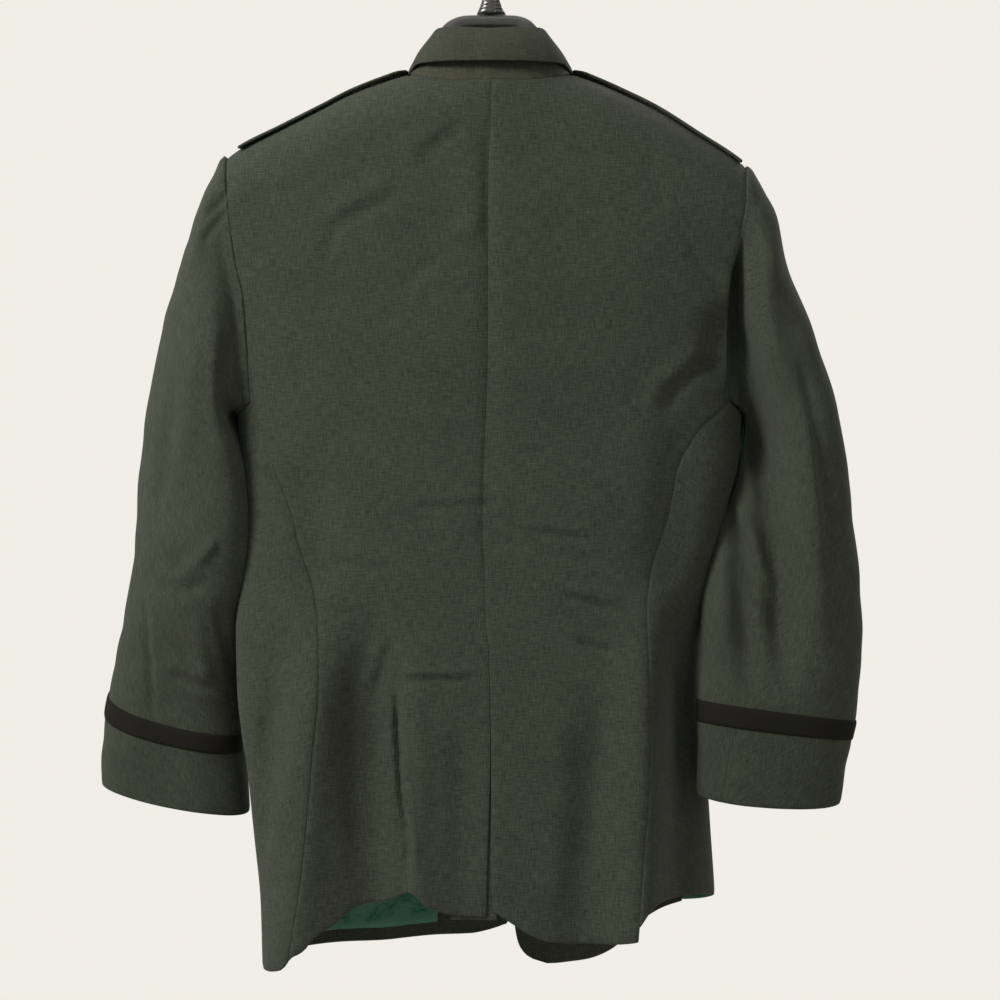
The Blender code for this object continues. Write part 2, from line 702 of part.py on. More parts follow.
def sleeve_rings(sign, loop):
    """Rings of a sleeve from the armhole edge to the cuff."""
    rows = SLEEVE_LEFT if sign > 0 else SLEEVE_RIGHT
    folds = SLEEVE_FOLDS_LEFT if sign > 0 else SLEEVE_FOLDS_RIGHT
    count = len(loop)
    low = int(np.argmin(loop[:, 2]))
    outer0 = loop[0, [0, 2]]
    inner0 = loop[low, [0, 2]]
    centre0 = (outer0 + inner0) / 2
    half0 = np.linalg.norm(outer0 - inner0) / 2
    axis0 = (outer0 - inner0) / (2 * half0)
    away0 = np.array([-axis0[1], axis0[0]])
    away0 *= np.sign(away0[0]) * sign
    flat = loop[:, [0, 2]] - centre0
    across = flat @ axis0 / half0
    away = flat @ away0
    depth0 = np.abs(loop[:, 1]).max()
    front_back = loop[:, 1] / depth0
    hind0 = 6
    fore0 = count - 6
    share_rows = column(SLEEVE_SEAMS, "share", 1.0)
    hind_name = "left_hind" if sign > 0 else "right_hind"
    rings = [loop + np.array([sign * reach, 0, 0]) for reach in (0.0006, 0.0035)]
    for index, row in enumerate(rows):
        share = index / (len(rows) - 1)
        hind = np.radians(smooth(share_rows, column(SLEEVE_SEAMS, hind_name, 1.0), share))
        fore = np.radians(smooth(share_rows, column(SLEEVE_SEAMS, "fore", 1.0), share)) + 2 * np.pi
        top = np.linspace(fore - 2 * np.pi, hind, count - fore0 + hind0 + 1)
        lower = np.linspace(hind, fore, fore0 - hind0 + 1)
        turn = np.concatenate([top[count - fore0:], lower[1:], top[1:count - fore0]])
        outer = np.array([sign * row.outer_x, row.outer_z]) * MM
        inner = np.array([sign * row.inner_x, row.inner_z]) * MM
        centre = (outer + inner) / 2
        half = np.linalg.norm(outer - inner) / 2
        axis = (outer - inner) / (2 * half)
        normal = np.array([-axis[1], axis[0]])
        normal *= np.sign(normal[0]) * sign
        blend = ease((index + 0.5) / 5)
        u = across * (1 - blend) + np.sign(np.cos(turn)) * np.abs(np.cos(turn)) ** 0.92 * blend
        v = front_back * (1 - blend) + np.sign(np.sin(turn)) * np.abs(np.sin(turn)) ** 0.92 * blend
        place_flat = centre + half * u[:, None] * axis + (away * (1 - blend))[:, None] * normal
        y = (row.centre + row.depth * v - row.twist * u) * MM
        x = place_flat[:, 0]
        z = place_flat[:, 1] - row.dip * MM * v
        behind = ease((v + 0.15) / 0.5)
        rings.append(np.stack([x, y + behind * relief(x, z, folds), z], -1))
    return np.array(rings), hind0, fore0


def build_sleeve(sign, loop):
    """Top sleeve and under sleeve, parted by the hind and the fore seam."""
    rings, hind, fore = sleeve_rings(sign, loop)
    side_name = "left" if sign > 0 else "right"
    count = rings.shape[1]
    order_top = [(fore + i) % count for i in range(count - fore + hind + 1)]
    order_under = list(range(hind, fore + 1))
    centre = rings[8].mean(axis=0)
    for label, order in (("top", order_top), ("under", order_under)):
        grid = rings[:, order].copy()
        for edge, inner in ((0, 1), (-1, -2)):
            step = grid[:, inner] - grid[:, edge]
            size = np.linalg.norm(step, axis=-1, keepdims=True)
            grid[:, edge] += step / size * SLEEVE_GAP
        narrow = []
        for edge, inner in ((0, 1), (-1, -2)):
            step = grid[:, inner] - grid[:, edge]
            narrow.append(grid[:, edge] + step * 0.07)
        grid = np.concatenate(
            [grid[:, :1], narrow[0][:, None], grid[:, 1:-1], narrow[1][:, None], grid[:, -1:]], axis=1)
        cloth(f"{label}_sleeve_{side_name}", grid, CLOTH_GREEN, outward=centre)
    return rings


def build_braid(sign, rings):
    """Braid band round a cuff, laid on the sleeve."""
    strips = []
    for ring in rings[BRAID_RINGS[0]:BRAID_RINGS[1] + 1]:
        out = ring - ring.mean(axis=0)
        out[:, 2] = 0
        out /= np.linalg.norm(out, axis=-1, keepdims=True)
        strips.append(ring + out * (BRAID_THICK + 2 * LAID_ON))
    points = np.array(strips)
    name = "braid_left" if sign > 0 else "braid_right"
    cloth(name, points, BRAID_BLACK, wall=BRAID_THICK, closed=True, outward=points.mean(axis=(0, 1)))


LOOP_REACH = (0.240, 0.094)
LOOP_HALF_WIDTH = (0.024, 0.018)
LOOP_LIFT = 0.0022
LOOP_CURVE = 4.0
LOOP_BUTTON_RADIUS = 0.0085


def build_loop(sign):
    """Shoulder loop from the armhole seam to its button by the collar."""
    along = np.linspace(0, 1, 9)[:, None]
    across = np.linspace(-1, 1, 5)[None, :]
    x = LOOP_REACH[0] + (LOOP_REACH[1] - LOOP_REACH[0]) * along + 0 * across
    half = LOOP_HALF_WIDTH[0] + (LOOP_HALF_WIDTH[1] - LOOP_HALF_WIDTH[0]) * along
    lift = LAID_ON + LOOP_LIFT * along
    y = half * across
    z = shoulder_height(sign * x) + lift + LOOP_WALL + 0 * across - LOOP_CURVE * y * y
    points = np.stack([sign * x, y, z], -1)
    name = "shoulder_loop_left" if sign > 0 else "shoulder_loop_right"
    below = points.mean(axis=(0, 1)) - np.array([0, 0, 0.1])
    cloth(name, points, CLOTH_GREEN, wall=LOOP_WALL, outward=below)
    seat = points[-2, 2]
    lean = np.arctan2(points[-3, 2, 2] - seat[2], abs(points[-3, 2, 0] - seat[0])) * sign
    add_button("loop_button_left" if sign > 0 else "loop_button_right", LOOP_BUTTON_RADIUS, seat, (0.0, -lean, 0.0))


class Turned(NamedTuple):
    """Point of the button's profile as shares of its radius."""

    radius: float
    height: float


BUTTON_PROFILE = (
    Turned(0.0, 0.0), Turned(0.9, 0.0), Turned(1.0, 0.10), Turned(0.96, 0.22), Turned(0.6, 0.38),
    Turned(0.0, 0.44),
)
BUTTON_STEPS = 14


def add_button(name, radius, seat, turn):
    """Domed metal button, its profile turned by a Screw, seated a small gap off its cloth."""
    build = bmesh.new()
    verts = [build.verts.new((row.radius * radius, 0, row.height * radius + LAID_ON)) for row in BUTTON_PROFILE]
    for pair in zip(verts, verts[1:]):
        build.edges.new(pair)
    mesh = bpy.data.meshes.new(name)
    build.to_mesh(mesh)
    build.free()
    part = add_object(name, mesh, BUTTON_BRASS, 0.35, 1.0)
    part.location = [float(v) for v in seat]
    part.rotation_euler = turn
    screw = part.modifiers.new("turned", "SCREW")
    screw.axis = "Z"
    screw.steps = BUTTON_STEPS
    screw.render_steps = BUTTON_STEPS
    screw.use_merge_vertices = True
    screw.merge_threshold = 0.00005
    screw.use_normal_calculate = True
    screw.use_smooth_shade = True


def build_front_buttons():
    """Four buttons down the left front."""
    surface = front_surface(1)
    for number, height in enumerate(BUTTON_HEIGHTS, 1):
        x = np.full(1, BUTTON_LINE_X)
        z = np.full(1, height)
        seat = surface(x, z)[0]
        add_button(f"front_button_{number}", BUTTON_RADIUS, seat, (np.pi / 2, 0.0, 0.0))


FLAP_TOP = (-0.706, -0.712)
FLAP_HEIGHT = (0.072, 0.069)
FLAP_INNER_X = 0.085
FLAP_OUTER_ANGLE = 101
FLAP_CURL = 0.002
FLAP_END_LIFT = 0.0040


def build_flap(sign):
    """Lower pocket flap, laid on the front and turned round to the side."""
    shares = np.linspace(0, 1, 8)[None, :]
    rows = np.array((0, .1, .5, .9, 1))[:, None]
    top = FLAP_TOP[0] + (FLAP_TOP[1] - FLAP_TOP[0]) * shares
    z = top - (FLAP_HEIGHT[0] + (FLAP_HEIGHT[1] - FLAP_HEIGHT[0]) * shares) * rows
    inner = np.pi - ring_angle(np.full_like(z, sign * FLAP_INNER_X), z)
    outer = np.full_like(z, np.radians(FLAP_OUTER_ANGLE))
    angle = inner + (outer - inner) * shares
    lift = WALL + LAID_ON + FLAP_CURL * rows + FLAP_END_LIFT * ease((shares - 0.7) / 0.3)

    def surface(a, h):
        return side_point(a, h, sign)

    points = moved_out(surface, angle, z, lift + 0 * z)
    name = "pocket_flap_left" if sign > 0 else "pocket_flap_right"
    cloth(name, points, CLOTH_GREEN)


LINING_FIRST_ROW = 15
LINING_COLUMNS = slice(4, 9)
HEM_STRIP = 0.011


def build_lining(sign, x, z):
    """Satin lining inside a front, made from the front's own points, above its hem."""
    across = x[LINING_FIRST_ROW:, LINING_COLUMNS]
    height = z[LINING_FIRST_ROW:, LINING_COLUMNS].copy()
    height[-1] += HEM_STRIP
    height[-2] += HEM_STRIP
    height[-3] += HEM_STRIP / 2
    points = moved_out(front_surface(sign), across, height, -(WALL + LAID_ON))
    name = "lining_left" if sign > 0 else "lining_right"
    cloth(name, points, LINING_GREEN, wall=LINING_WALL)


HANGER_CLEAR = 0.0007


class HangerTop(NamedTuple):
    """Top line of the hanger at the neck (mm)."""

    reach: float
    height: float


HANGER_NECK = (
    HangerTop(0, -71.2), HangerTop(30, -72.3), HangerTop(39, -76), HangerTop(44, -84),
    HangerTop(47, -97), HangerTop(50, -109), HangerTop(56, -121), HangerTop(64, -127.5),
    HangerTop(77, -130),
)
HANGER_STATIONS = (0, 15, 28, 36, 41, 44, 46, 48, 51, 55, 60, 67, 77, 84, 100, 120, 140, 160, 180, 198, 212)


HANGER_HALF_HEIGHT = (0.0075, 0.0110)
HANGER_HALF_DEPTH = (0.0100, 0.0230)
HANGER_SIDES = 12


def build_hanger():
    """Moulded hanger: broad arms under the shoulders and a raised saddle at the neck."""
    half = np.array(HANGER_STATIONS) * MM
    x = np.concatenate([-half[:0:-1], half])
    reach = np.abs(x)
    share = reach / reach.max()
    arm = shoulder_height(x) - WALL - HANGER_CLEAR
    saddle = smooth(column(HANGER_NECK, "reach"), column(HANGER_NECK, "height"), reach)
    top = np.where(reach < 0.080, saddle, arm)
    tall = HANGER_HALF_HEIGHT[0] + (HANGER_HALF_HEIGHT[1] - HANGER_HALF_HEIGHT[0]) * share
    deep = HANGER_HALF_DEPTH[0] + (HANGER_HALF_DEPTH[1] - HANGER_HALF_DEPTH[0]) * share ** 1.5
    slope = np.gradient(top, x)
    turns = np.linspace(0, 2 * np.pi, HANGER_SIDES, endpoint=False)
    build = bmesh.new()
    loops = []
    for i in range(len(x)):
        lean = np.array([-slope[i], 1.0]) / np.hypot(slope[i], 1.0)
        centre = np.array([x[i], top[i]]) - lean * tall[i]
        loop = []
        for turn in turns:
            flat = centre + lean * tall[i] * np.cos(turn)
            loop.append(build.verts.new((flat[0], deep[i] * np.sin(turn), flat[1])))
        loops.append(loop)
    close_tube(build, loops, "hanger")


def close_tube(build, loops, name):
    """Join rings of points to one closed body of the hanger."""
    count = len(loops[0])
    for a, b in zip(loops, loops[1:]):
        for k in range(count):
            j = (k + 1) % count
            build.faces.new((a[k], b[k], b[j], a[j]))
    build.faces.new(loops[0])
    build.faces.new(loops[-1][::-1])
    bmesh.ops.recalc_face_normals(build, faces=build.faces)
    mesh = bpy.data.meshes.new(name)
    build.to_mesh(mesh)
    build.free()
    add_object(name, mesh, HANGER_BLACK, 0.35)


class HookRing(NamedTuple):
    """Place and half sizes of the hook's section (mm)."""

    x: float
    z: float
    width: float
    depth: float


HOOK_RADIUS = 22.0
HOOK_WIRE = 4.0
HOOK_TURN = range(-68, 196, 22)
HOOK_SIDES = 10
HOOK_FOOT = (
    HookRing(-1.0, -70.8, 14.0, 8.0), HookRing(-1.0, -63.5, 11.0, 7.0), HookRing(-0.8, -56.5, 8.7, 6.0),
    HookRing(-0.6, -49.5, 6.4, 5.0), HookRing(0.4, -43.5, 4.6, 4.2),
)


def build_hook():
    """Hook with a tapered foot on the saddle, turned over the rail."""
    rings = list(HOOK_FOOT)
    for degrees in HOOK_TURN:
        turn = np.radians(degrees)
        out = HOOK_RADIUS * np.cos(turn)
        rings.append(HookRing(out, HOOK_WIRE - HOOK_RADIUS + HOOK_RADIUS * np.sin(turn), HOOK_WIRE, HOOK_WIRE))
    path = np.array([(ring.x, ring.z) for ring in rings]) * MM
    turns = np.linspace(0, 2 * np.pi, HOOK_SIDES, endpoint=False)
    build = bmesh.new()
    loops = []
    for i, ring in enumerate(rings):
        ahead = path[min(i + 1, len(path) - 1)] - path[max(i - 1, 0)]
        ahead = np.array([0.0, 1.0]) if i == 0 else ahead / np.linalg.norm(ahead)
        across = np.array([ahead[1], -ahead[0]])
        loop = []
        for turn in turns:
            flat = path[i] + across * ring.width * MM * np.cos(turn)
            loop.append(build.verts.new((flat[0], ring.depth * MM * np.sin(turn), flat[1])))
        loops.append(loop)
    close_tube(build, loops, "hanger_hook")


def main():
    """Build the whole coat."""
    for old in list(bpy.data.objects):
        bpy.data.objects.remove(old, do_unlink=True)
    group = bpy.data.collections.new("military_coat")
    bpy.context.scene.collection.children.link(group)
    build_hanger()
    build_hook()
    build_collar()
    build_front_buttons()
    for sign in (1, -1):
        back = build_back(sign)
        side = build_side(sign)
        front, x, z = build_front(sign)
        build_lapel(sign)
        rings = build_sleeve(sign, armhole(back, side, front))
        build_braid(sign, rings)
        build_loop(sign)
        build_flap(sign)
        build_lining(sign, x, z)


main()
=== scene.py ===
"""Military coat on a moulded hanger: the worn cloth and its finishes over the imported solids.

Metres, +Z up. The origin is the inside top of the hanger's hook, +Y is the coat's back and
+X is the wearer's left. The tables are in millimetres and seen from behind.
"""

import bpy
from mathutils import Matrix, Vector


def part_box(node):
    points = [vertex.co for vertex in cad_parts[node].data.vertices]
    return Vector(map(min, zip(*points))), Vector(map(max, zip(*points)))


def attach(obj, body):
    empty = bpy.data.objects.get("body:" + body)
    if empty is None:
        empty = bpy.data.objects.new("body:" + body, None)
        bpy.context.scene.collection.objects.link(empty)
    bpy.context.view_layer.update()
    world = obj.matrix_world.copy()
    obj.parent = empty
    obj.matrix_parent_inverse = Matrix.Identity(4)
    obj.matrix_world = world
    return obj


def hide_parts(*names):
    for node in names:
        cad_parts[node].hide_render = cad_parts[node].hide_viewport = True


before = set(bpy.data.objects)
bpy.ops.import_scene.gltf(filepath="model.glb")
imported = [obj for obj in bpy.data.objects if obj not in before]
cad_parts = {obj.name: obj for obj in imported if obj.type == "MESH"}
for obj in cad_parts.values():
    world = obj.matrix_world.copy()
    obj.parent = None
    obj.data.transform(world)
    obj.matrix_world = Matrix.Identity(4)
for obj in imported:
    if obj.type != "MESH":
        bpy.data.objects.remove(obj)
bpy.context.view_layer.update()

import logging
import math
from dataclasses import dataclass
from enum import Enum
from typing import Callable, Iterable, Optional, Sequence

import bmesh
import bpy
import numpy as np
from mathutils import Vector

log = logging.getLogger("military_coat")
MM = 0.001
Table = Sequence[Sequence[float]]
Array = np.ndarray
Colour = tuple[float, float, float, float]
Socket = bpy.types.NodeSocket

# Height of the vent's top, in metres
VENT_TOP = -0.672
# The tables from here on are in millimetres, and a line above each names its columns
# reach, left, right
SHOULDER = (
    (0, -98, -98), (81, -129.7, -129.7), (95, -134, -134.5), (134, -148.5, -151),
    (159, -161, -163), (200, -181, -188), (241, -201, -214.5), (253, -210, -226),
    (330, -262, -290),
)
# height, left, right, back, front, squareness
BODY = (
    (-120, 330, 325, 55, 60, 2.5), (-210, 330, 325, 58, 62, 2.5), (-270, 312, 308, 61, 65, 2.5),
    (-320, 290, 285, 62, 66, 2.5), (-380, 262, 258, 61, 66, 2.5), (-441, 242, 241.5, 58, 64, 2.5),
    (-470, 241.5, 240, 56, 63, 2.5), (-505, 240, 237, 55, 62, 2.6), (-530, 239, 230, 54, 61, 2.7),
    (-560, 238, 221, 53, 60, 2.8), (-610, 239, 209, 52, 60, 3), (-660, 243.5, 203.5, 52, 60, 3),
    (-720, 242, 202, 54, 61, 3), (-790, 233, 209, 56, 62, 3), (-860, 226, 214, 58, 63, 3),
    (-920, 220, 218, 59, 64, 3), (-990, 217, 220, 60, 65, 3),
)
# height, out; the same for each table up to the front hems
CENTRE_BACK = (
    (-140, -1.5), (-175, -0.6), (-235, 1.9), (-395, 1.9), (-557, 7), (-605, 4.7), (-650, 3.8),
    (-672, 1.5), (-770, 0), (-870, 2.8), (-930, 4.2),
)
VENT_GAP = (
    (-672, 0.4), (-760, 1.2), (-860, 4), (-930, 7.5),
)
BACK_EDGE_LEFT = (
    (-209, 252.5), (-243, 249.4), (-266, 247.5), (-290, 244.5), (-318, 240), (-337, 235.4),
    (-379, 232), (-441.4, 229), (-502, 205.5), (-550, 187.5), (-584, 178.6), (-614, 168.1),
    (-652, 162), (-712, 160.2), (-779, 166), (-843, 171.6), (-894, 177.4), (-940, 184.6),
    (-970, 190),
)
BACK_EDGE_RIGHT = (
    (-209, 246), (-221, 244.5), (-258, 242), (-278, 238.9), (-299.5, 234.3), (-323.6, 227.5),
    (-364, 224.5), (-441.4, 224), (-470, 198), (-509, 177), (-532, 172.8), (-559, 166.7),
    (-600, 153), (-641, 148), (-725, 150.8), (-798, 150), (-863, 145), (-949, 138.3),
)
FRONT_EDGE_LEFT = (
    (-209, 252.5), (-240, 245), (-300, 229), (-350, 217), (-400, 210.5), (-441.4, 214),
    (-505, 198), (-570, 184), (-640, 180), (-760, 184), (-880, 188), (-990, 190),
)
FRONT_EDGE_RIGHT = (
    (-209, 246), (-221, 244), (-250, 237), (-300, 224), (-350, 214), (-400, 208.5), (-441.4, 213),
    (-505, 196), (-570, 178), (-640, 172), (-760, 180), (-880, 186), (-990, 190),
)
OPENING_LEFT = (
    (-126, 81), (-160, 78), (-230, 58), (-310, 29), (-372, 4), (-402, -14), (-430, -20),
    (-800, -20), (-900, -20), (-940, -19), (-953, -15.5),
)
OPENING_RIGHT = (
    (-126, 81), (-160, 78), (-230, 58), (-310, 29), (-372, 4), (-402, -14), (-430, -20),
    (-740, -20), (-800, -10), (-870, 12), (-930, 22), (-968, 27), (-985, 38), (-991, 56),
)
HEM_BACK_LEFT = (
    (-927, 3), (-925, 35), (-917, 57), (-904, 77), (-908, 86), (-912, 95), (-916, 117),
    (-921, 130), (-934, 145), (-946, 164), (-959, 175), (-965, 186), (-970, 191),
)
HEM_BACK_RIGHT = (
    (-922, 4), (-933, 21), (-943, 37), (-949.6, 55), (-952, 87), (-952, 110), (-949, 139),
)
HEM_FRONT_LEFT = (
    (-952, -15), (-957, 0), (-961, 20), (-962, 50), (-964, 80), (-967, 110), (-969, 150),
    (-972, 192),
)
HEM_FRONT_RIGHT = (
    (-989, 30), (-991, 54), (-988, 80), (-984, 100), (-975, 120), (-949, 147), (-934, 170),
    (-925, 192),
)
# share, left, right
SIDE_HEM = (
    (0, -970, -936), (0.07, -978, -915), (0.3, -982, -913), (0.6, -979, -918), (1, -972, -925),
)
# top_x, top_z, low_x, low_z, width, depth
BACK_FOLDS = (
    (158, -620, 196, -1060, 28, 17), (112, -610, 108, -1040, 27, -15),
    (88, -670, 79, -1010, 6, -3), (70, -660, 66, -1040, 13, 5), (0, -160, 2, -640, 9, -2),
    (-150, -600, -138, -1060, 26, 16), (-180, -620, -178, -1030, 17, -21),
    (-224, -570, -224, -1060, 38, -38), (-226, -345, -205, -430, 16, -8),
    (-186, -450, -160, -640, 22, -6), (180, -480, 150, -640, 24, -6),
    (196, -640, 228, -1000, 16, -8), (-92, -700, -84, -1060, 24, -7),
    (24, -700, 26, -1050, 20, -4),
)
# top_x, top_z, low_x, low_z, width, depth
FRONT_FOLDS = (
    (150, -640, 160, -1050, 34, 6), (90, -720, 95, -1060, 26, -5),
    (-150, -640, -160, -1050, 34, 6), (-92, -700, -84, -1060, 26, -5),
    (200, -300, 150, -420, 22, -4), (-196, -300, -150, -430, 22, -4),
)
# outer_x, outer_z, inner_x, inner_z, depth, centre, twist, dip
SLEEVE_LEFT = (
    (261.5, -217, 247.5, -457, 51, -2, 0, 0), (272, -235.5, 247.5, -463, 54, -3, 2, 0),
    (284.5, -266, 246, -471, 56, -4, 5, 0), (295.5, -297, 242.5, -481, 56, -5, 8, 0),
    (307, -337, 237, -494, 55, -6, 12, 0), (317, -376, 233, -510, 54, -7, 15, 0),
    (325.5, -415, 230.5, -530, 53, -8, 18, 0), (333, -450, 228.5, -553, 52, -10, 20, 0),
    (338.5, -490, 228.5, -580, 51, -12, 20, 0), (343, -535, 231.5, -610, 49, -16, 18, 2),
    (347, -595, 237.5, -645, 47, -24, 12, 5), (358, -655, 240, -696, 45, -35, 4, 9),
    (367, -697, 239, -730, 42, -42, 0, 13), (372, -724.5, 238, -757, 40, -45, 0, 14),
    (375, -744.5, 239, -776.5, 38, -46, 0, 13), (378, -780, 237, -810, 35, -47, 0, 11),
    (379.5, -811, 235, -838.5, 31, -48, 0, 9),
)
# outer_x, outer_z, inner_x, inner_z, depth, centre, twist, dip
SLEEVE_RIGHT = (
    (254.5, -227, 247, -457, 51, 0, 0, 0), (263, -242, 247, -463, 54, 1, 0, 0),
    (273, -263, 245.5, -471, 56, 2, -3, 0), (281.5, -304, 242.5, -481, 56, 3, -6, 0),
    (294.5, -341, 237.5, -494, 55, 4, -10, 0), (305.5, -371, 233, -508, 54, 5, -15, 0),
    (317, -409, 227, -525, 53, 6, -20, 0), (328.5, -452, 218.5, -548, 52, 8, -24, 0),
    (338, -501, 209, -575, 50, 10, -24, 0), (344, -555, 204, -606, 48, 12, -16, 2),
    (351.5, -618, 201.5, -646, 45, 14, -6, 3), (354.5, -678, 200.5, -688, 42, 16, 0, 2),
    (350, -722, 198.5, -708, 40, 17, 2, 0), (347.5, -746, 198, -725, 38, 18, 4, 0),
    (343.5, -764, 197.5, -745, 36, 18, 5, 1), (339, -793, 197, -778, 33, 18, 6, 5),
    (334, -823, 196.5, -813, 29, 18, 6, 8),
)
# top_x, top_z, low_x, low_z, width, depth
SLEEVE_FOLDS_LEFT = (
    (262, -300, 255, -470, 12, 3), (300, -640, 330, -860, 34, -6), (270, -585, 345, -620, 12, -3),
)
# top_x, top_z, low_x, low_z, width, depth
SLEEVE_FOLDS_RIGHT = (
    (-213, -245, -270, -560, 14, -27), (-252, -400, -280, -735, 18, -33),
    (-240, -255, -298, -560, 11, 6), (-292, -430, -316, -700, 14, 6),
    (-226, -430, -248, -735, 15, -22),
)
# share, left_hind, right_hind, fore
SLEEVE_SEAMS = (
    (0, 75, 80, -140), (0.35, 45, 92, -135), (0.7, 30, 108, -130), (1, 62, 132, -130),
)
# share, seam_x, seam_y, seam_z, roll_x, roll_y, roll_z, edge_x, edge_y, edge_z
COLLAR = (
    (0, 0, 53.6, -140, 0, 41, -91, 0, 60.5, -123.2),
    (0.16, 30, 50, -139.3, 29, 37, -89, 30, 57, -123),
    (0.32, 55, 39.5, -135.9, 49, 24, -88, 56, 46, -122.4),
    (0.48, 70.5, 23, -130.9, 57.5, 7, -94, 70, 27, -121.5),
    (0.62, 76.5, 1.5, -127.8, 63, -8, -104, 78, 3, -126),
    (0.8, 76, -32, -136.5, 70, -34, -123, 92, -43.5, -149),
    (0.9, 76, -45, -146.5, 73, -47, -138, 106, -52.2, -162.5),
    (1, 75, -54, -158, 75, -57.5, -154, 119, -59.5, -177),
)
# height, out
LAPEL_OUTER = (
    (-160, 118), (-198, 133), (-212, 132), (-240, 122), (-290, 94), (-335, 58), (-365, 24),
    (-377, 6),
)


class Side(Enum):
    """Which half of the coat, as the sign of its X."""

    LEFT = 1
    RIGHT = -1

    @property
    def label(self) -> str:
        """Lower-case word used in the nodes' names."""
        return self.name.lower()

    @property
    def sign(self) -> int:
        """Sign of X on this half."""
        return self.value

    def pick(self, left: object, right: object) -> object:
        """The table or value that belongs to this half."""
        return left if self is Side.LEFT else right


def column(rows: Table, index: int, scale: float = MM) -> Array:
    """One column of a table.

    Args:
        rows: The table.
        index: The column's place.
        scale: Factor from the table's unit to metres.

    Returns:
        The column as an array.
    """
    return np.array([row[index] for row in rows], float) * scale


def unit(vectors: Array) -> Array:
    """Vectors brought to a length of 1 along the last axis."""
    return vectors / np.maximum(np.linalg.norm(vectors, axis=-1, keepdims=True), 1e-12)


def smooth(keys: Array, values: Array, at: Array) -> Array:
    """Monotone cubic through a table, which never swings past its rows.

    Args:
        keys: Where the values stand.
        values: The table's values.
        at: Where they are wanted.

    Returns:
        The values at those places.
    """
    order = np.argsort(keys)
    keys = keys[order]
    values = values[order]
    step = np.diff(keys)
    slope = np.diff(values) / step
    tangent = np.concatenate([slope[:1], np.zeros(len(keys) - 2), slope[-1:]])
    same = slope[:-1] * slope[1:] > 0
    before = 2 * step[1:] + step[:-1]
    after = step[1:] + 2 * step[:-1]
    safe_a = np.where(same, slope[:-1], 1.0)
    safe_b = np.where(same, slope[1:], 1.0)
    mean = (before + after) / (before / safe_a + after / safe_b)
    tangent[1:-1] = np.where(same, mean, 0.0)
    at = np.clip(at, keys[0], keys[-1])
    cell = np.clip(np.searchsorted(keys, at) - 1, 0, len(step) - 1)
    t = (at - keys[cell]) / step[cell]
    rise = values[cell] * (1 + 2 * t) * (1 - t) ** 2 + values[cell + 1] * t * t * (3 - 2 * t)
    bend = step[cell] * (tangent[cell] * t * (1 - t) ** 2 - tangent[cell + 1] * t * t * (1 - t))
    return rise + bend


def ease(value: Array) -> Array:
    """Smooth step from 0 to 1."""
    value = np.clip(value, 0, 1)
    return value * value * (3 - 2 * value)


def place(rows: Table, z: Array) -> Array:
    """Distance from the centre plane of a (height, out) line at a height."""
    return smooth(column(rows, 0), column(rows, 1), z)


def hem_height(rows: Table, x: Array) -> Array:
    """Hem height of a (height, out) line at a distance from the centre plane."""
    return smooth(column(rows, 1), column(rows, 0), x)


def lengths(points: Array, axis: int) -> Array:
    """Running length of a grid's lines along one axis, from 0.

    Args:
        points: The grid.
        axis: 0 down the grid, 1 across it.

    Returns:
        The lengths.
    """
    step = np.linalg.norm(np.diff(points, axis=axis), axis=-1)
    pad = [(0, 0), (0, 0)]
    pad[axis] = (1, 0)
    return np.cumsum(np.pad(step, pad), axis=axis)


def curve_rows(controls: Array, count: int) -> Array:
    """Smooth rows through control rows.

    Args:
        controls: Rows of points, first axis along the sleeve.
        count: How many rows are wanted.

    Returns:
        The fine rows, evenly spaced in the controls' index.
    """
    last = len(controls) - 1
    at = np.linspace(0, last, count)
    cell = np.clip(at.astype(int), 0, last - 1)
    t = (at - cell)[:, None, None]
    before = controls[np.maximum(cell - 1, 0)]
    start = controls[cell]
    end = controls[cell + 1]
    after = controls[np.minimum(cell + 2, last)]
    square = (2 * before - 5 * start + 4 * end - after) * t ** 2
    cube = (3 * start - before - 3 * end + after) * t ** 3
    return 0.5 * (2 * start + (end - before) * t + square + cube)


def add_object(name: str, data: bpy.types.ID) -> bpy.types.Object:
    """New object in the scene.

    Args:
        name: Object name.
        data: Its mesh, light or camera.

    Returns:
        The object.
    """
    piece = bpy.data.objects.new(name, data)
    bpy.context.scene.collection.objects.link(piece)
    return piece


def smooth_object(name: str, work: bmesh.types.BMesh,
                  material: bpy.types.Material) -> bpy.types.Object:
    """Smooth object of a moulded or turned body, its faces turned outwards.

    Args:
        name: Object name.
        work: The body, which is freed.
        material: Its finish.

    Returns:
        The new object.
    """
    bmesh.ops.recalc_face_normals(work, faces=work.faces)
    mesh = bpy.data.meshes.new(name)
    work.to_mesh(mesh)
    work.free()
    mesh.materials.append(material)
    mesh.polygons.foreach_set("use_smooth", np.ones(len(mesh.polygons), bool))
    return add_object(name, mesh)


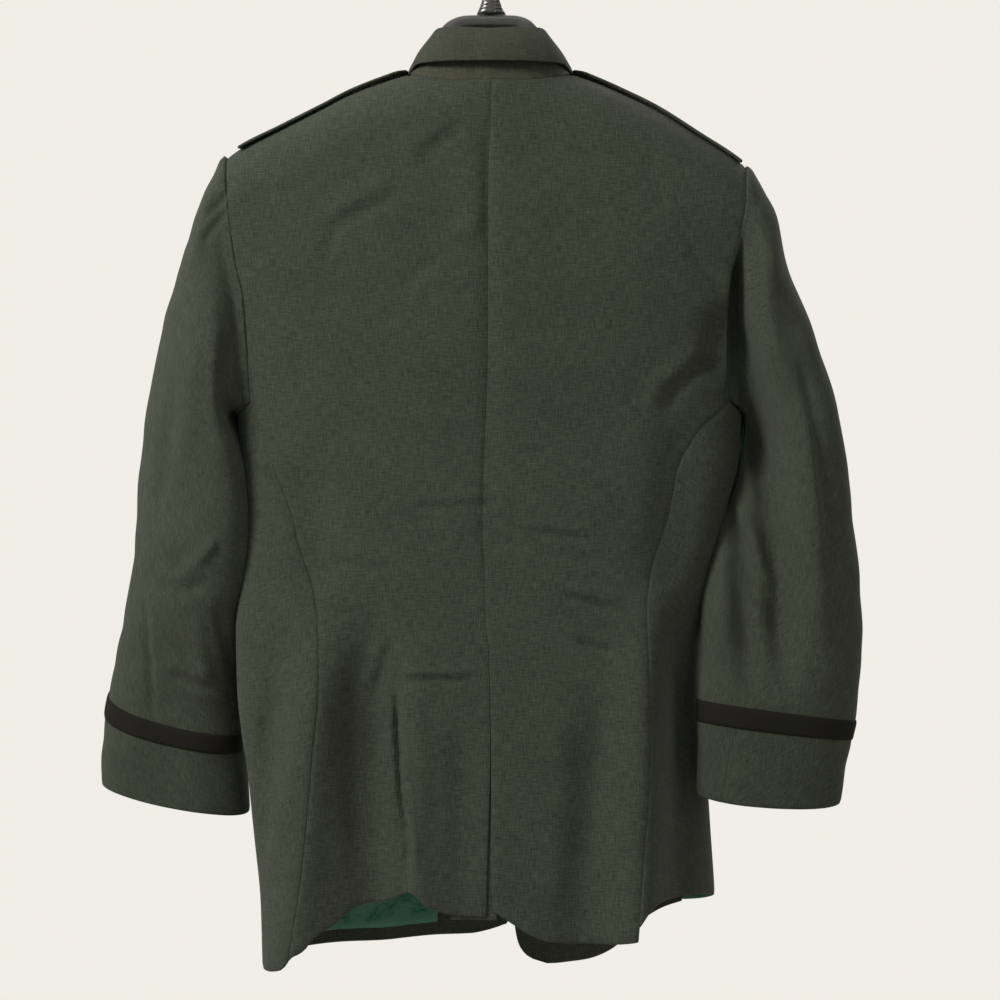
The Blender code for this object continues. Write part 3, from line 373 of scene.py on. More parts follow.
@dataclass(frozen=True)
class Crease:
    """A soft crease of hung cloth along a line.

    Attributes:
        line: Points of the line (mm), across and up.
        width: Half width of the crease (mm).
        depth: Height of the ridge, or of a trough where it is under zero (mm).
        skew: How much steeper its right flank is, -1 to 1.
    """

    line: Table
    width: float
    depth: float
    skew: float = 0.0

    def lift(self, x: Array, z: Array) -> Array:
        """Height of the crease at points of the cloth.

        Args:
            x: Places across.
            z: Places up.

        Returns:
            The heights.
        """
        points = np.array(self.line, float) * MM
        starts = points[:-1]
        runs = np.diff(points, axis=0)
        sizes = np.linalg.norm(runs, axis=1)
        whole = sizes.sum()
        travelled = np.concatenate([[0], np.cumsum(sizes)[:-1]])
        best = np.full(x.shape, 1e9)
        along = np.zeros(x.shape)
        aside = np.zeros(x.shape)
        for start, run, size, done in zip(starts, runs, sizes, travelled):
            off_x = x - start[0]
            off_z = z - start[1]
            t = np.clip((off_x * run[0] + off_z * run[1]) / size ** 2, 0, 1)
            gap_x = off_x - t * run[0]
            gap_z = off_z - t * run[1]
            gap = np.hypot(gap_x, gap_z)
            nearer = gap < best
            best = np.where(nearer, gap, best)
            along = np.where(nearer, (done + t * size) / whole, along)
            aside = np.where(nearer, np.sign(off_x * run[1] - off_z * run[0]), aside)
        fade = ease(along / 0.22 + 0.02) * ease((1 - along) / 0.30 + 0.02)
        width = self.width * MM * (1 + self.skew * aside)
        return self.depth * MM * fade * np.exp(-(best / width) ** 2)


def lift_of(creases: Sequence[Crease], x: Array, z: Array) -> Array:
    """Sum of the creases' heights at points of the cloth.

    Args:
        creases: The creases.
        x: Places across.
        z: Places up.

    Returns:
        The sum.
    """
    total = np.zeros(np.shape(x))
    for crease in creases:
        total = total + crease.lift(x, z)
    return total


def unevenness(x: Array, z: Array, size: float, seed: float) -> Array:
    """Slow uneven waves of hung cloth, between about -1 and 1.

    Args:
        x: Places across.
        z: Places up.
        size: Length of the longest wave in metres.
        seed: Phase that tells one panel's waves from another's.

    Returns:
        The waves' height.
    """
    total = np.zeros(np.shape(x))
    waves = ((0.3, 1.0, 0.5), (1.25, 0.62, 0.3), (2.2, 0.41, 0.2), (2.9, 0.27, 0.12))
    for turn, stretch, strength in waves:
        pace = 2 * math.pi / (size * stretch)
        phase = seed * 3.7 + turn * 5.1
        total = total + strength * np.sin(pace * (x * math.cos(turn) + z * math.sin(turn)) + phase
                                          + 1.3 * np.sin(pace * 0.43 * (z - x) + seed))
    return total


@dataclass
class CoatForm:
    """Outer form of the coat's body, close to its solids.

    Attributes:
        shoulder_radius: Rounding from the shoulder seam down to the back and front.
        underarm: Height of the armholes' low points.
        waist: Height of the waist rows.
        fold_fade: Share of a fold's length over which it fades out.
        neck_x: Half width of the neck seam.
        neck_back: Height of the neck seam at the centre back.
        neck_rise: How far the neck seam rises to its ends.
        neck_curve: Power of that rise.
        wall: Thickness of the wool.
    """

    shoulder_radius: float = 0.055
    underarm: float = -0.4414
    waist: float = -0.620
    fold_fade: float = 0.28
    neck_x: float = 0.081
    neck_back: float = -0.1405
    neck_rise: float = 0.0108
    neck_curve: float = 2.6
    wall: float = 0.0018

    def shoulder_height(self, x: Array) -> Array:
        """Height of the shoulder line at a signed distance from the centre plane.

        Args:
            x: Signed distances.

        Returns:
            The heights.
        """
        reach = column(SHOULDER, 0)
        left = smooth(reach, column(SHOULDER, 1), np.abs(x))
        right = smooth(reach, column(SHOULDER, 2), np.abs(x))
        return np.where(x >= 0, left, right)

    def top_height(self, x: Array) -> Array:
        """Upper edge of the back: the neck seam, then the shoulder seam.

        Args:
            x: Signed distances.

        Returns:
            The heights.
        """
        share = np.minimum(np.abs(x), self.neck_x) / self.neck_x
        neck = self.neck_back + self.neck_rise * share ** self.neck_curve
        return np.where(np.abs(x) < self.neck_x, neck, self.shoulder_height(x))

    def section(self, x: Array, z: Array) -> tuple[Array, Array, Array, Array]:
        """Half width, back depth, front depth and squareness of the body at a point.

        Args:
            x: Places across.
            z: Places up.

        Returns:
            The four values.
        """
        height = column(BODY, 0)
        left = smooth(height, column(BODY, 1), z)
        right = smooth(height, column(BODY, 2), z)
        back = smooth(height, column(BODY, 3), z)
        front = smooth(height, column(BODY, 4), z)
        squareness = smooth(height, column(BODY, 5, 1.0), z)
        return np.where(x >= 0, left, right), back, front, squareness

    def relief(self, x: Array, z: Array, folds: Table) -> Array:
        """Sum of the large folds (top x, top z, low x, low z, width, depth) at points.

        Args:
            x: Places across.
            z: Places up.
            folds: Table of the folds.

        Returns:
            The sum in metres.
        """
        total = np.zeros_like(x)
        for top_x, top_z, low_x, low_z, width, depth in folds:
            run_x = (low_x - top_x) * MM
            run_z = (low_z - top_z) * MM
            length = math.hypot(run_x, run_z)
            off_x = x - top_x * MM
            off_z = z - top_z * MM
            along = (off_x * run_x + off_z * run_z) / length ** 2
            across = (off_x * run_z - off_z * run_x) / length
            fade = ease(along / self.fold_fade) * ease((1 - along) / self.fold_fade)
            total = total + depth * MM * fade * np.exp(-(across / (width * MM)) ** 2)
        return total

    def dressed(self, x: Array, y: Array, z: Array) -> Array:
        """Body points with the large folds and the listed creases.

        Args:
            x: Places across.
            y: Places front to back.
            z: Places up.

        Returns:
            The points.
        """
        behind = ease((y + 0.045) / 0.050)
        ahead = ease(-y / 0.030)
        near_behind = ease((y + 0.010) / 0.030)
        back = self.relief(x, z, BACK_FOLDS)
        front = self.relief(x, z, FRONT_FOLDS)
        fine_back = lift_of(BACK_CREASES, x, z) + 0.0009 * unevenness(x, z, 0.16, 1.0)
        fine_front = lift_of(FRONT_CREASES, x, z) + 0.0010 * unevenness(x, z, 0.15, 2.0)
        moved = y + behind * back - ahead * front + near_behind * fine_back - ahead * fine_front
        return np.stack([x, moved, z], -1)

    def body_point(self, x: Array, z: Array, facing: int) -> Array:
        """Point of the outer surface, facing 1 for the back and -1 for the front.

        Args:
            x: Places across.
            z: Places up.
            facing: Which surface.

        Returns:
            The points.
        """
        half, back, front, squareness = self.section(x, z)
        reach = np.clip(np.abs(x) / half, 0, 1)
        depth = back if facing > 0 else -front
        drop = np.clip((self.shoulder_height(x) - z) / self.shoulder_radius, 0, 1)
        round_over = np.sqrt(1 - (1 - drop) ** 2)
        y = depth * (1 - reach ** squareness) ** (1 / squareness) * round_over
        return self.dressed(x, y, z)

    def ring_angle(self, x: Array, z: Array) -> Array:
        """Angle round the body, from the centre back, of a point at a distance from the centre."""
        half, _, _, squareness = self.section(x, z)
        return np.arcsin(np.clip(np.abs(x) / half, 0, 1) ** (squareness / 2))

    def side_point(self, angle: Array, z: Array, sign: int) -> Array:
        """Body point at an angle from the centre back, 90 degrees at the side.

        Args:
            angle: Angles round the body.
            z: Places up.
            sign: Sign of X.

        Returns:
            The points.
        """
        half, back, front, squareness = self.section(np.full_like(z, sign), z)
        x = sign * half * np.abs(np.sin(angle)) ** (2 / squareness)
        turn = np.cos(angle)
        y = np.where(turn >= 0, back, front) * np.sign(turn) * np.abs(turn) ** (2 / squareness)
        return self.dressed(x, y, z)


def crease_table(*rows: Sequence[float]) -> tuple[Crease, ...]:
    """Creases from rows of half width, depth, skew and then each point across and up."""
    return tuple(Crease(tuple(zip(row[3::2], row[4::2])), *row[:3]) for row in rows)


# Creases seen in the photograph, and like ones on the hidden sides
# half width, depth, skew, then across and up of each point
BACK_CREASES = crease_table(
    (7.92, -2.1, 0, 23.5, -184.3, 47, -201.3, 70.5, -219.1),
    (9.68, 1.75, 0, 35.7, -176.8, 62, -197.5, 86.5, -216.3),
    (7.04, -2.27, 0, 78, -246.4, 112.8, -261.4, 143.8, -278.3, 159.8, -324.4),
    (9.68, 1.93, 0, 88.4, -235.1, 126, -252, 157.9, -274.6),
    (7.04, -2.1, 0, 27.3, -289.6, 54.5, -312.2, 78, -332.9, 89.3, -347.9),
    (7.92, 1.57, 0, 3.8, -266.1, 32.9, -291.5, 62, -316.9),
    (4.4, -2.27, 0, 2.8, -171.2, 3.8, -235.1, 3.8, -310.3),
    (7.92, -1.57, 0, -143.8, -207.8, -156, -238.9, -163.6, -269.9),
    (7.92, -1.75, 0, -183.3, -297.1, -204.9, -317.8, -225.6, -340.4),
    (6.16, -4.2, 0, -218.1, -394.9, -195.5, -413.7, -174.8, -433.4, -163.6, -460.7),
    (8.8, 2.8, 0, -208.7, -383.6, -182.4, -406.2, -156, -428.7, -146.6, -460.7),
    (2.82, -2.1, 0.3, 82.7, -544.4, 50.8, -542.5, 18.8, -540.6, -18.8, -535.9),
    (4.4, 1.22, 0, 82.7, -538.7, 50.8, -536.8, 18.8, -535, -18.8, -530.3),
    (2.99, -2.27, 0, -32, -565, -65.8, -568.8, -99.6, -572.6),
    (4.4, 1.4, 0, -30.1, -558.5, -65.8, -562.2, -101.5, -566),
    (3.52, -3.32, 0, -67.7, -624.3, -95.9, -632.7, -123.1, -644),
    (5.28, 2.1, 0, -71.4, -615.8, -99.6, -624.3, -127.8, -635.5),
    (3.52, -3.5, 0, -79.9, -667.5, -99.6, -675, -119.4, -679.7),
    (4.4, -1.4, 0, -47, -584.8, -84.6, -592.3, -112.8, -601.7),
    (1.94, 2.98, 0, 90.2, -698.5, 56.4, -697.6, 28.2, -697.6, 0.9, -697.6),
    (3.52, -2.27, 0, 86.5, -706, 47, -705.1, 1.9, -705.1),
    (2.99, -5.95, 0.4, 89.3, -699.5, 88.4, -723.9, 88.4, -751.2, 84.6, -810.4, 79, -846.1, 78,
     -916.6),
    (4.05, 3.32, 0, 80.8, -699.5, 80.8, -751.2, 77.1, -810.4, 71.4, -855.5, 69.6, -916.6),
    (5.72, -1.93, 0, 92.1, -667.5, 98.7, -690.1, 108.1, -721.1),
    (6.16, 1.57, 0, 99.6, -663.7, 108.1, -688.2, 118.4, -718.3),
    (5.28, -4.2, 0, 197.4, -714.5, 204.9, -737.1, 214.3, -761.5),
    (7.04, 4.55, 0, 185.2, -770.9, 193.6, -817.9, 204.9, -873.4, 214.3, -904.4),
    (3.52, -1.57, 0, 150.4, -592.3, 126, -597.9, 92.1, -601.7),
    (3.52, -1.4, 0, 178.6, -629.9, 150.4, -641.2, 122.2, -644.9),
    (5.28, -4.2, 0, -174.8, -667.5, -178.6, -723.9, -182.4, -780.3, -178.6, -855.5),
    (5.28, 2.8, 0, -163.6, -686.3, -165.4, -761.5, -163.6, -846.1),
    (14.1, 2.27, 0, -65.8, -723.9, -71.4, -799.1, -65.8, -874.3, -58.3, -940.1),
    (11.4, -2.27, 0, -103.4, -714.5, -101.5, -799.1, -94, -893.1),
    (12.3, 1.57, 0, 47, -723.9, 43.2, -799.1, 41.4, -893.1),
    (8.8, -2.62, 0, 126.9, -667.5, 131.6, -742.7, 129.7, -817.9, 122.2, -893.1),
)
SLEEVE_CREASES_LEFT = crease_table(
    (3.96, -3.52, 0, 242.5, -244.5, 259.4, -259.5, 275.4, -278.3),
    (3.96, -3.08, 0, 244.4, -258.6, 259.4, -274.6, 272.6, -297.1),
    (7.92, 4.4, 0, 259.4, -227.6, 272.6, -272.7, 284.8, -329.1),
    (3.96, -5.72, 0.3, 321.5, -614.9, 295.2, -620.5, 263.2, -616.7),
    (5.28, 4.84, 0, 295.2, -607.3, 276.4, -592.3, 255.7, -569.7),
    (5.28, -3.52, 0, 310.2, -539.7, 293.3, -547.2, 278.2, -554.7),
    (6.16, 3.3, 0, 319.6, -603.6, 293.3, -609.2, 267, -605.5),
    (3.52, -2.86, 0, 332.8, -620.5, 329.9, -667.5, 326.2, -723.9, 325.2, -761.5),
    (3.52, -3.08, 0, 347.8, -678.8, 332.8, -688.2, 317.7, -695.7),
    (3.96, -3.52, 0, 310.2, -701.3, 285.8, -712.6, 259.4, -718.3),
    (4.4, 2.64, 0, 312.1, -690.1, 285.8, -700.4, 257.6, -706),
    (6.16, -3.96, 0, 248.2, -376.1, 251.9, -432.5, 246.3, -488.9),
    (11.4, 3.52, 0, 276.4, -376.1, 283.9, -441.9, 285.8, -507.7),
    (9.68, -3.08, 0, 302.7, -441.9, 310.2, -507.7, 319.6, -573.5),
    (6.16, -3.52, 0, 258.5, -629.9, 251.9, -667.5, 244.4, -714.5),
    (7.92, 2.64, 0, 282, -648.7, 276.4, -686.3, 274.5, -723.9),
)
SLEEVE_CREASES_RIGHT = crease_table(
    (4.4, -4.5, 0, -228.4, -317.8, -234.1, -357.3, -253.8, -425.9, -266, -470.1, -268.8, -526.5,
     -275.4, -608.3, -273.5, -676.9),
    (5.28, 4.8, 0, -238.8, -317.8, -245.3, -357.3, -266, -425.9, -278.2, -470.1, -281.1, -526.5,
     -287.6, -608.3, -285.8, -676.9),
    (7.04, -3.3, 0, -286.7, -385.5, -298.9, -441.9, -310.2, -503.9, -328.1, -629.9),
    (8.8, 3, 0, -274.5, -376.1, -288.6, -441.9, -298.9, -507.7, -312.1, -620.5),
    (3.52, -4.5, 0, -216.2, -453.2, -223.7, -460.7, -227.5, -468.2, -222.8, -482.3),
    (6.16, 3.9, 0, -230.3, -517.1, -251, -576.3, -275.4, -640.2),
    (6.16, -3.6, 0, -223.7, -535.9, -240.6, -592.3, -261.3, -650.6),
    (8.8, 2.4, 0, -250, -253.9, -257.6, -291.5, -268.8, -338.5),
    (4.4, -2.25, 0, -242.5, -284, -248.2, -310.3, -257.6, -347.9),
    (7.04, -2.4, 0, -291.4, -629.9, -302.7, -667.5, -312.1, -714.5),
    (4.4, -2.25, 0, -235, -667.5, -263.2, -693.8, -291.4, -705.1),
    (4.4, -2.1, 0, -212.4, -686.3, -231.2, -701.3, -253.8, -714.5),
    (6.16, 2.1, 0, -319.6, -554.7, -327.1, -592.3, -330.9, -639.3),
)
FRONT_CREASES = crease_table(
    (9, -2.56, 0, 190, -250, 160, -300, 128, -352),
    (10.8, 2.24, 0, 205, -270, 176, -320, 146, -372),
    (9, -2.56, 0, -192, -246, -164, -298, -130, -350),
    (10.8, 2.24, 0, -206, -266, -178, -318, -146, -366),
    (4.5, -2.4, 0, 60, -430, 100, -446, 150, -452),
    (4.5, -2.56, 0, -48, -470, -92, -486, -140, -488),
    (4.5, -2.24, 0, 30, -560, 70, -574, 118, -580),
    (4.5, -2.24, 0, -40, -580, -84, -592, -128, -590),
    (14.4, 2.56, 0, 60, -800, 66, -880, 60, -950),
    (12.6, -2.88, 0, 110, -810, 118, -880, 120, -950),
    (14.4, 2.56, 0, -64, -800, -70, -880, -62, -960),
    (12.6, -2.88, 0, -116, -800, -122, -880, -118, -940),
    (4.5, -1.92, 0, 10, -640, 40, -652, 76, -655),
    (6.3, -2.88, 0, 205, -520, 190, -560, 186, -610),
    (6.3, -2.88, 0, -205, -520, -190, -560, -186, -610),
)
SLEEVE_FRONT_CREASES_LEFT = crease_table(
    (8.1, 2.88, 0, 262, -260, 276, -300, 288, -345),
    (6.3, -3.04, 0, 250, -300, 262, -340, 268, -390),
    (5.4, -3.84, 0, 330, -590, 296, -600, 262, -594),
    (7.2, 2.56, 0, 336, -575, 300, -584, 266, -578),
    (5.4, -2.56, 0, 320, -500, 296, -520, 268, -530),
    (5.4, -2.4, 0, 346, -660, 310, -676, 270, -684),
    (11.7, 2.56, 0, 300, -400, 306, -460, 316, -520),
    (8.1, -2.24, 0, 280, -620, 276, -670, 270, -720),
)
SLEEVE_FRONT_CREASES_RIGHT = crease_table(
    (8.1, 2.88, 0, -262, -270, -276, -310, -290, -360),
    (6.3, -3.04, 0, -250, -310, -264, -350, -270, -400),
    (5.4, -3.84, 0, -330, -600, -290, -604, -236, -590),
    (7.2, 2.56, 0, -336, -582, -296, -588, -240, -574),
    (5.4, -2.56, 0, -322, -510, -290, -530, -250, -536),
    (5.4, -2.4, 0, -330, -670, -290, -684, -236, -676),
    (11.7, 2.56, 0, -300, -420, -304, -480, -300, -540),
    (8.1, -2.24, 0, -262, -620, -256, -670, -250, -715),
)

FORM = CoatForm()


@dataclass
class Cloth:
    """One cut piece of cloth, built as a thin shell from a grid of its outer points.

    Attributes:
        name: Object name.
        points: Outer points, rows down the piece and columns across it.
        wall: Thickness of the cloth.
        centre: Point that lies behind the cloth, which tells its outer face.
        closed: Whether the columns close to a tube.
        turn_in: How far each border rolls in at its seam or fold: top, bottom, first, last.
        turn_width: How wide that roll is.
        inner_rows: Rows whose inner face takes the second finish, 1 or 0 each.
        grain: Places of the points on the flat cloth, where they differ from the grid's lengths.
    """

    name: str
    points: Array
    wall: float
    centre: Array
    closed: bool = False
    turn_in: tuple[float, float, float, float] = (0.0, 0.0, 0.0, 0.0)
    turn_width: float = 0.0022
    inner_rows: Optional[Array] = None
    grain: Optional[Array] = None

    def normals(self, points: Array) -> Array:
        """Outward unit normals of a grid.

        Args:
            points: The grid.

        Returns:
            A normal for each point.
        """
        if self.closed:
            wrapped = np.concatenate([points[:, -1:], points, points[:, :1]], axis=1)
            across = wrapped[:, 2:] - wrapped[:, :-2]
        else:
            across = np.gradient(points, axis=1)
        down = np.gradient(points, axis=0)
        normal = np.cross(across, down)
        size = np.linalg.norm(normal, axis=-1, keepdims=True)
        normal = normal / np.maximum(size, 1e-12)
        away = points - self.centre
        vote = np.sign(np.sum(normal * away * size))
        return normal * (vote if vote else 1.0)

    def rolled(self) -> Array:
        """Outer points with the borders rolled in towards their seams.

        Returns:
            The rolled points.
        """
        points = self.points
        if not any(self.turn_in):
            return points
        normal = self.normals(points)
        down = lengths(points, 0)
        across = lengths(points, 1)
        top, bottom, first, last = self.turn_in
        gaps = ((top, down), (bottom, down[-1:] - down), (first, across),
                (last, across[:, -1:] - across))
        sink = np.zeros(points.shape[:2])
        for amount, gap in gaps:
            if amount:
                sink = sink + amount * np.exp(-(gap / self.turn_width) ** 2)
        return points - normal * sink[..., None]

    def build(self, *materials: bpy.types.Material) -> bpy.types.Object:
        """Make the shell's mesh and object.

        Args:
            materials: The outer finish, then the finish of the inner face where it differs.

        Returns:
            The new object, with a UV map in metres.
        """
        outer = self.rolled()
        rows, cols = outer.shape[:2]
        normal = self.normals(outer)
        inner = outer - normal * self.wall
        count = rows * cols
        index = np.arange(count).reshape(rows, cols)
        wrapped = np.concatenate([index, index[:, :1]], axis=1) if self.closed else index
        corners = [wrapped[:-1, :-1], wrapped[1:, :-1], wrapped[1:, 1:], wrapped[:-1, 1:]]
        quads = np.stack(corners, -1).reshape(-1, 4)
        first = quads[len(quads) // 2]
        corner = outer.reshape(-1, 3)[first]
        facing = np.dot(np.cross(corner[1] - corner[0], corner[2] - corner[0]),
                        normal.reshape(-1, 3)[first[0]])
        if facing < 0:
            quads = quads[:, ::-1]
        if self.closed:
            borders = [wrapped[0], wrapped[-1][::-1]]
            inward = [wrapped[1], wrapped[-2][::-1]]
        else:
            ring = np.concatenate([index[0], index[1:, -1], index[-1, -2::-1], index[-2:0:-1, 0],
                                   index[:1, 0]])
            near = np.concatenate([index[1], index[1:, -2], index[-2, -2::-1], index[-2:0:-1, 1],
                                   index[1:2, 0]])
            borders = [ring]
            inward = [near]
        flat_outer = outer.reshape(-1, 3)
        flat_inner = inner.reshape(-1, 3)
        vertices = [flat_outer, flat_inner]
        faces = [quads, quads[:, ::-1] + count]
        base = 2 * count
        rim_quads = []
        for ring, near in zip(borders, inward):
            loop = ring[:-1]
            away = flat_outer[loop] - flat_outer[near[:-1]]
            away = away / np.maximum(np.linalg.norm(away, axis=1, keepdims=True), 1e-9)
            vertices.append((flat_outer[loop] + flat_inner[loop]) / 2 + away * self.wall * 0.38)
            middle = base + np.arange(len(loop))
            middle = np.append(middle, middle[0])
            rim_quads.append(np.stack([ring[:-1], ring[1:], middle[1:], middle[:-1]], -1))
            rim_quads.append(np.stack([middle[:-1], middle[1:], ring[1:] + count,
                                       ring[:-1] + count], -1))
            base += len(loop)
        rim = np.concatenate(rim_quads)
        everything = np.concatenate(vertices)
        faces.append(rim)
        mesh = bpy.data.meshes.new(self.name)
        table = np.concatenate(faces)
        mesh.from_pydata(everything.tolist(), [], table.tolist())
        self._face_outwards(mesh)
        self._unwrap(mesh, outer, borders)
        for material in materials:
            mesh.materials.append(material)
        if len(materials) > 1:
            which = np.zeros(len(table), int)
            lined = np.ones((rows - 1, wrapped.shape[1] - 1), int)
            if self.inner_rows is not None:
                lined = lined * self.inner_rows[:, None]
            which[len(quads):2 * len(quads)] = lined.reshape(-1)
            mesh.polygons.foreach_set("material_index", which)
        mesh.polygons.foreach_set("use_smooth", np.ones(len(table), bool))
        mesh.update()
        return add_object(self.name, mesh)

    @staticmethod
    def _face_outwards(mesh: bpy.types.Mesh) -> None:
        """Turn all faces one way round, so the shell is closed and faces out.

        Args:
            mesh: The shell's mesh.
        """
        work = bmesh.new()
        work.from_mesh(mesh)
        bmesh.ops.recalc_face_normals(work, faces=work.faces)
        work.to_mesh(mesh)
        work.free()

    def _unwrap(self, mesh: bpy.types.Mesh, outer: Array, borders: Sequence[Array]) -> None:
        """Give the mesh a UV map in metres of cloth, its weave along the cut's own grain.

        Args:
            mesh: The shell's mesh.
            outer: Its outer points.
            borders: Point numbers along its borders.
        """
        across = lengths(outer, 1)
        down = lengths(outer, 0)
        across = across - across[:, -1:] / 2
        flat = np.stack([across, down], -1) if self.grain is None else self.grain
        flat = flat.reshape(-1, 2)
        rims = [flat[ring[:-1]] for ring in borders]
        places = np.concatenate([flat, flat] + rims)
        layer = mesh.uv_layers.new(name="cloth_metres")
        corners = np.empty(len(mesh.loops), int)
        mesh.loops.foreach_get("vertex_index", corners)
        layer.data.foreach_set("uv", places[corners].astype(np.float32).ravel())


def declare(piece: bpy.types.Object, cloth: Cloth, nodes: Sequence[str]) -> None:
    """Tie a piece of cloth to the frame and state the size that it was cut to.

    Args:
        piece: The cloth's object.
        cloth: The cut that it was built from.
        nodes: CAD nodes that it stands for.
    """
    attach(piece, "root")
    if nodes:
        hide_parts(*nodes)
    points = cloth.points
    if cloth.closed:
        points = np.concatenate([points, points[:, :1]], axis=1)
    down = np.linalg.norm(np.diff(points, axis=0), axis=-1).sum(axis=0).mean()
    across = np.linalg.norm(np.diff(points, axis=1), axis=-1).sum(axis=1).max()
    first = np.cross(points[1:, 1:] - points[:-1, :-1], points[1:, :-1] - points[:-1, 1:])
    area = 0.5 * np.linalg.norm(first, axis=-1).sum()
    width = round(float(across), 3)
    length = round(float(down), 3)
    area = math.floor(min(float(area), width * length) * 1e5) / 1e5
    triangles = sum(len(face.vertices) - 2 for face in piece.data.polygons)
    log.info("%s: cut %.3f x %.3f m, %.4f m2, %d triangles", piece.name, width, length, area,
             triangles)


@dataclass
class SleeveCloth(Cloth):
    """Cloth wrapped round an arm, whose outer face looks away from the sleeve's own axis."""

    axis: Optional[Array] = None

    def normals(self, points: Array) -> Array:
        """Outward unit normals, away from the sleeve's middle line.

        Args:
            points: The grid.

        Returns:
            A normal for each point.
        """
        normal = super().normals(points)
        if self.axis is None:
            return normal
        away = points - self.axis[:, None]
        vote = np.sign(np.sum(normal * away))
        return normal * (vote if vote else 1.0)


def grid_shares(count: int, edge: Sequence[float] = (0.004, 0.012, 0.024)) -> Array:
    """Shares from 0 to 1 with extra lines close to both ends, where the seams roll in.

    Args:
        count: How many even lines.
        edge: Shares of the extra lines.

    Returns:
        The shares.
    """
    middle = np.linspace(0, 1, count)
    middle = middle[(middle > edge[-1] * 1.4) & (middle < 1 - edge[-1] * 1.4)]
    near = np.array(edge)
    return np.concatenate([[0], near, middle, 1 - near[::-1], [1]])


